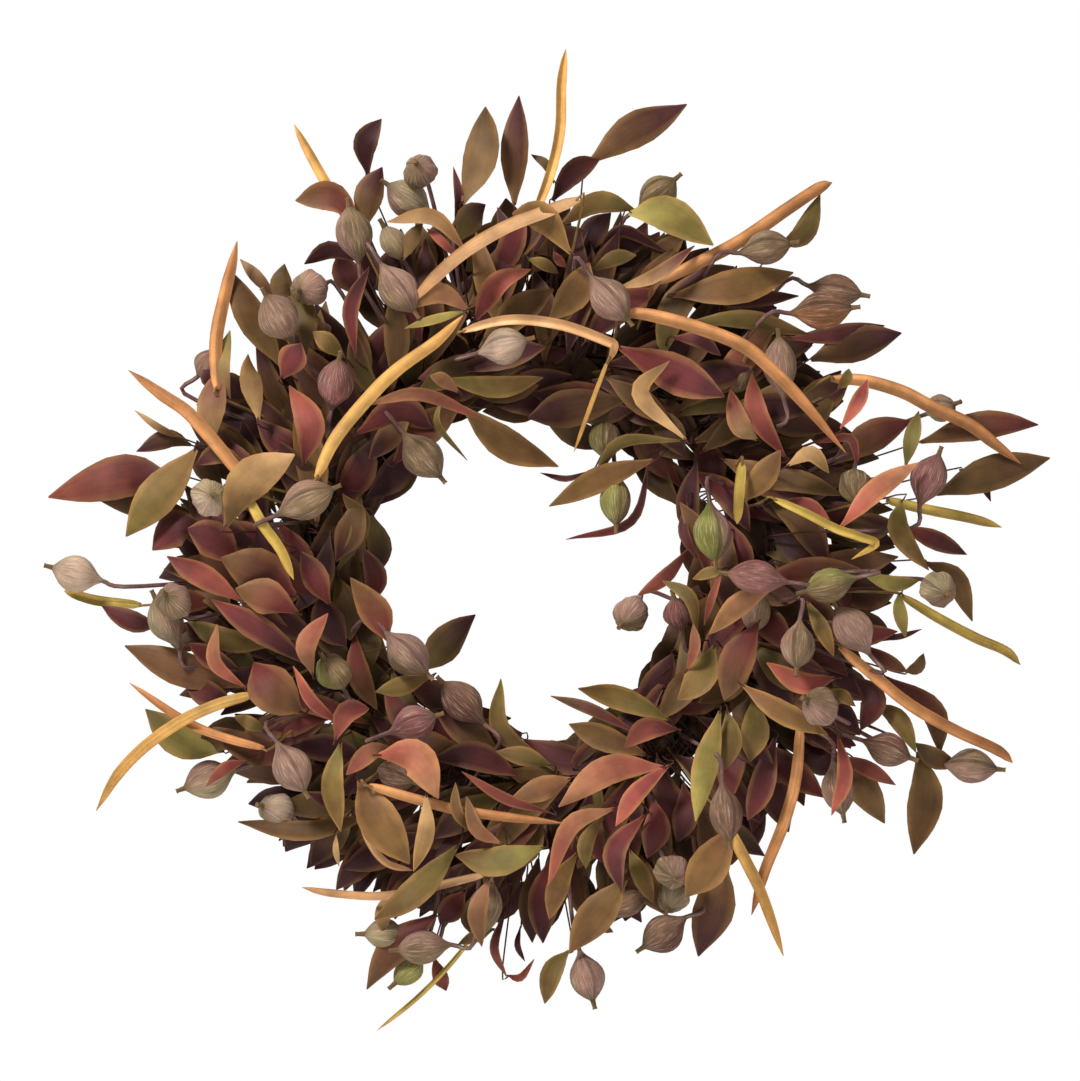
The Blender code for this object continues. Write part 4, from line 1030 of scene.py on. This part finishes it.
class WreathLeafSettings(bpy.types.PropertyGroup):
    thickness: FloatProperty(
        name="Thickness", description="How thick the foam sheet is", default=0.0007, unit="LENGTH"
    )
    filler: IntProperty(
        name="Filler leaves", description="Leaves deep in the body of the wreath", default=660, min=0
    )
    swirl: FloatProperty(
        name="Swirl", description="How far filler leaves lean clockwise", default=0.5, subtype="ANGLE"
    )
    inner: FloatProperty(
        name="Inner edge", description="Radius filler leaves start at", default=0.108, unit="LENGTH"
    )
    outer: FloatProperty(
        name="Outer edge", description="Radius filler leaves start before", default=0.215, unit="LENGTH"
    )


class WreathPodSettings(bpy.types.PropertyGroup):
    pucker: FloatProperty(
        name="Pucker", description="How deeply the paper shell is wrinkled", default=1.0, min=0.0
    )


class WreathVineSettings(bpy.types.PropertyGroup):
    strands: IntProperty(
        name="Wild twigs", description="Loose twigs round the main vines", default=9, min=0
    )
    knobbly: FloatProperty(
        name="Knobbly", description="How uneven a vine's thickness is", default=0.55, min=0.0
    )
    wander: FloatProperty(
        name="Wander", description="How far a vine strays from its lay", default=0.0035, unit="LENGTH"
    )


class WreathStageSettings(bpy.types.PropertyGroup):
    floor: FloatVectorProperty(
        name="Floor", description="Colour of the floor", default=(0.86, 0.86, 0.86), subtype="COLOR"
    )
    room_light: FloatProperty(
        name="Room light", description="How much light the white room gives", default=0.36, min=0.0
    )
    drop: FloatProperty(
        name="Drop", description="Height of the wreath above the floor", default=0.16, unit="LENGTH"
    )


class WREATH_OT_leaves(bpy.types.Operator):
    """Make the foam leaves, each on its stalk, spray by spray"""

    bl_idname = "wreath.leaves"
    bl_label = "Leaves"

    def execute(self, context):
        settings = context.scene.wreath_leaves
        # Moulded foam sheet: soft and matt, with faint veins and a trace of a paler tone on them
        look = grained("eva_foam_leaf", 1.6, 0.06, 0.0002, 0.6, "#b98a55", 0.04)
        make_pieces(
            "leaf_spray", "leaves", LEAVES, lambda r: r[:2], add_leaf, settings, 100, look,
            lambda n: ("olive_leaf", "maroon_leaf")[int(n[-2:]) % 2],
        )  # fmt: skip
        dice = np.random.default_rng(7)
        for side in ("upper", "lower"):
            gather = Gather()
            for number in range(settings.filler):
                row = filler_row(dice, number, settings)
                if (row[1] > 0) == (side == "upper"):
                    add_leaf(gather, row, dice, settings)
            mesh = gather.mesh(f"leaves_inside_{side}")
            mesh.materials.append(look)
            add_piece(bpy.data.objects.new(mesh.name, mesh), "wreath", "maroon_leaf")
        return {"FINISHED"}


# Filler leaves: the turn from one to the next, which never repeats, how wide the band is where they
# lie along the ring, how far from its centre they reach, and how far from the vines' middle they start
# to wrap its sides
GOLDEN_ANGLE = 2.39996
INSIDE_BAND = 30
FILLER_REACH = 246
BUNDLE_SIDE = 18.0


def filler_row(dice, number, settings):
    """A leaf deep in the body: it points outwards and leans clockwise, or runs along the ring's inside."""
    inner, outer = settings.inner / MM, settings.outer / MM
    angle = number * GOLDEN_ANGLE + dice.uniform(-0.1, 0.1)
    radius = inner + (outer - inner) * dice.random()
    lean = -settings.swirl + dice.uniform(-0.7, 0.7)
    if radius < inner + INSIDE_BAND:
        lean = dice.choice([-1, 1]) * dice.uniform(1.3, 2.0)
    length = dice.uniform(46, 80) if radius > inner + INSIDE_BAND else dice.uniform(38, 60)
    length = min(length, FILLER_REACH - radius)
    way = angle + lean
    x, z = radius * math.cos(angle), radius * math.sin(angle)
    bow = dice.uniform(-0.12, 0.12) * length
    run, rise = length * math.cos(way), length * math.sin(way)
    middle = (x + 0.5 * run - bow * math.sin(way), z + 0.5 * rise + bow * math.cos(way))
    tip = (x + run, z + rise)
    dye = dice.choice(["MM", "RM", "OM", "BM", "GM", "MR", "MM", "RB", "OB", "BO"])
    layer = 0.2 + 4.2 * dice.random() ** 1.4
    # Beside the vines, leaves reach back as well and cover the ring's sides.
    if abs(radius - LAYOUT_RADIUS) > BUNDLE_SIDE:
        layer -= dice.uniform(0.0, 3.2)
    return (x, z, *middle, *tip, dice.uniform(14, 21), dye, layer)


def stem_place(row):
    """Where a pod's stem meets it, which tells the sector it is bound in."""
    x, z, angle, _, _, length, *_ = row
    turn = math.radians(angle)
    reach = length / 2 + 5.0
    return x + reach * math.cos(turn), z + reach * math.sin(turn)


class WREATH_OT_pods(bpy.types.Operator):
    """Make the papery pods on their stems"""

    bl_idname = "wreath.pods"
    bl_label = "Pods"

    def execute(self, context):
        # Dried paper, dyed and crumpled: deep furrows from end to end, with chalky crests
        look = grained("dried_paper_pod", 1.0, 0.3, 0.0018, 0.8, "#dccab2", 0.72)
        settings = context.scene.wreath_pods
        make_pieces("pod_pick", "pods", PODS, stem_place, add_pod, settings, 500, look, lambda n: "pod")
        return {"FINISHED"}


class WREATH_OT_grass(bpy.types.Operator):
    """Make the dyed grass blades"""

    bl_idname = "wreath.grass"
    bl_label = "Grass"

    def execute(self, context):
        # Dried and dyed grass: fine straw-pale fibres that run the whole length, with a dull sheen
        look = grained("dyed_grass_blade", 0.8, 0.1, 0.0002, 0.6, "#ecca8a", 0.16)
        settings = context.scene.wreath_leaves
        make_pieces(
            "grass_tuft", "grass", BLADES, lambda r: r[3], add_blade, settings, 900, look,
            lambda n: "grass",
        )  # fmt: skip
        return {"FINISHED"}


class WREATH_OT_ring(bpy.types.Operator):
    """Make the twisted vine ring, its binding wire and the hanger"""

    bl_idname = "wreath.ring"
    bl_label = "Vine ring and wires"

    def execute(self, context):
        settings = context.scene.wreath_vines
        tree = strand_tree()
        bark = bark_material()
        shared = {"Material": bark, "Knobbly": settings.knobbly, "Wander": settings.wander}
        shared |= {"Spacing": 0.003, "Sides": 14}
        for number in range(VINES):
            path = round_bundle(VINE_TURNS, number * 2 * math.pi / VINES, VINE_CIRCLE, wobble=0.06)
            values = {**shared, "Radius": VINE_RADIUS, "Seed": 3.0 * number}
            piece = evaluated(f"twisted_vine_{number + 1}", path_mesh("lay", [path]), tree, values)
            add_piece(piece, "wreath", "vine", f"vine_{number + 1}")
        core = round_bundle(0, 0, 0.0)
        values = {**shared, "Radius": CORE_RADIUS, "Seed": 31.0}
        piece = evaluated("inner_vine", path_mesh("lay", [core]), tree, values)
        add_piece(piece, "wreath", "vine", "core_vine")
        twigs = []
        for k in range(settings.strands):
            distance = TWIG_CIRCLE + 0.0006 * (k % 3)
            twigs.append(round_bundle(2 + k % 3, 1.1 + 2.4 * k, distance, wobble=0.1))
        values = {**shared, "Radius": TWIG_RADIUS, "Seed": 47.0, "Sides": 8, "Spacing": 0.004}
        add_piece(evaluated("wild_twigs", path_mesh("lay", twigs), tree, values), "wreath", "vine")
        # Thin steel wire with a dark green enamel, which hides it among the stems
        enamel = wire_material("enamelled_paddle_wire", "#39402f", 0.3, 0.5)
        winding = round_bundle(SECTORS, BINDING_START, BINDING_CIRCLE, steps=768)
        values = {"Material": enamel, "Radius": BINDING_RADIUS, "Knobbly": 0.0, "Wander": 0.0}
        values |= {"Spacing": 0.002, "Sides": 8, "Seed": 5.0}
        piece = evaluated("wound_wire", path_mesh("lay", [winding]), tree, values)
        add_piece(piece, "wreath", "binding_wire", "binding_wire")
        # Bare annealed steel: grey, with a soft gloss along the wire
        steel = wire_material("annealed_steel_wire", "#9a9890", 1.0, 0.38)
        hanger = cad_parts["hanger_loop"]
        hanger.data.materials.clear()
        hanger.data.materials.append(steel)
        return {"FINISHED"}


class WREATH_OT_stage(bpy.types.Operator):
    """Set the floor, the soft light and the camera"""

    bl_idname = "wreath.stage"
    bl_label = "Stage"

    def execute(self, context):
        settings = context.scene.wreath_stage
        low, high = CAD_BOX
        mesh = bpy.data.meshes.new("floor")
        corners = 96
        turns = [k * 2 * math.pi / corners for k in range(corners)]
        radius, z = 1.25, low[2] - settings.drop
        rim = [(radius * math.cos(t), radius * math.sin(t), z) for t in turns]
        mesh.from_pydata(rim, [], [tuple(range(corners))])
        # Matt paint, pale and plain
        made, tree = blank_material("painted_floor")
        paint = {"Base Color": (*settings.floor, 1), "Roughness": 0.7}
        shader = node(tree, "ShaderNodeBsdfPrincipled", paint)
        mesh.materials.append(finish_material(made, tree, shader))
        floor = bpy.data.objects.new("floor", mesh)
        context.scene.collection.objects.link(floor)
        centre = Vector((low[0] + high[0], low[1] + high[1], low[2] + high[2])) / 2
        for name, offset, size, power in (
            ("key", (-1.3, -1.6, 1.7), 0.6, 74.0),
            ("fill", (1.8, -1.8, 0.3), 1.6, 9.0),
            ("back", (-0.5, 1.9, 1.0), 1.4, 38.0),
        ):
            data = bpy.data.lights.new(name, "AREA")
            data.size = size
            data.energy = power
            lamp = bpy.data.objects.new(name, data)
            lamp.location = centre + Vector(offset)
            lamp.rotation_euler = (-Vector(offset)).to_track_quat("-Z", "Y").to_euler()
            context.scene.collection.objects.link(lamp)
        world = bpy.data.worlds.new("white_room")
        world.use_nodes = True
        tree = world.node_tree
        tree.nodes.clear()
        # The camera sees a white room, which lights the wreath with less than it shows.
        seen = node(tree, "ShaderNodeLightPath").outputs["Is Camera Ray"]
        strength = node(
            tree, "ShaderNodeMapRange", {"To Min": settings.room_light, "To Max": 1.0}, {"Value": seen}
        )
        white = {"Color": (1, 1, 1, 1)}
        room = node(tree, "ShaderNodeBackground", white, {"Strength": strength.outputs[0]})
        node(tree, "ShaderNodeOutputWorld", links={"Surface": room.outputs[0]})
        context.scene.world = world
        context.scene.view_settings.view_transform = "Standard"
        camera = bpy.data.cameras.new("camera")
        camera.lens = 180.0
        camera.sensor_width = 36.0
        # The camera looks straight at the wreath from where it takes in this width at the foliage's middle.
        width = 0.7078
        away = width * camera.lens / camera.sensor_width
        eye = bpy.data.objects.new("camera", camera)
        eye.location = (RING_CENTRE[0] + 0.0079, RING_CENTRE[1] - 0.06 - away, RING_CENTRE[2] + 0.0193)
        eye.rotation_euler = (math.pi / 2, 0, 0)
        context.scene.collection.objects.link(eye)
        context.scene.camera = eye
        return {"FINISHED"}


OPERATORS = (WREATH_OT_ring, WREATH_OT_leaves, WREATH_OT_grass, WREATH_OT_pods, WREATH_OT_stage)


class WREATH_PT_panel(bpy.types.Panel):
    """Buttons that make each group of pieces"""

    bl_idname = "WREATH_PT_panel"
    bl_label = "Harvest Door Wreath"
    bl_space_type = "VIEW_3D"
    bl_region_type = "UI"
    bl_category = "Wreath"

    def draw(self, context):
        for operator in OPERATORS:
            self.layout.operator(operator.bl_idname)


SETTINGS = {
    "wreath_leaves": WreathLeafSettings,
    "wreath_pods": WreathPodSettings,
    "wreath_vines": WreathVineSettings,
    "wreath_stage": WreathStageSettings,
}


def register():
    """Registers the classes and hangs their settings on the scene."""
    for made in (*SETTINGS.values(), *OPERATORS, WREATH_PT_panel):
        bpy.utils.register_class(made)
    for name, group in SETTINGS.items():
        setattr(bpy.types.Scene, name, bpy.props.PointerProperty(type=group))


def unregister():
    """Takes the settings and the classes away again."""
    for name in SETTINGS:
        delattr(bpy.types.Scene, name)
    for made in (WREATH_PT_panel, *OPERATORS[::-1], *SETTINGS.values()):
        bpy.utils.unregister_class(made)


def main():
    """Makes every group of pieces and the stage."""
    register()
    for operator in OPERATORS:
        group, name = operator.bl_idname.split(".")
        getattr(getattr(bpy.ops, group), name)()
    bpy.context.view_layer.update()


if __name__ == "__main__":
    main()
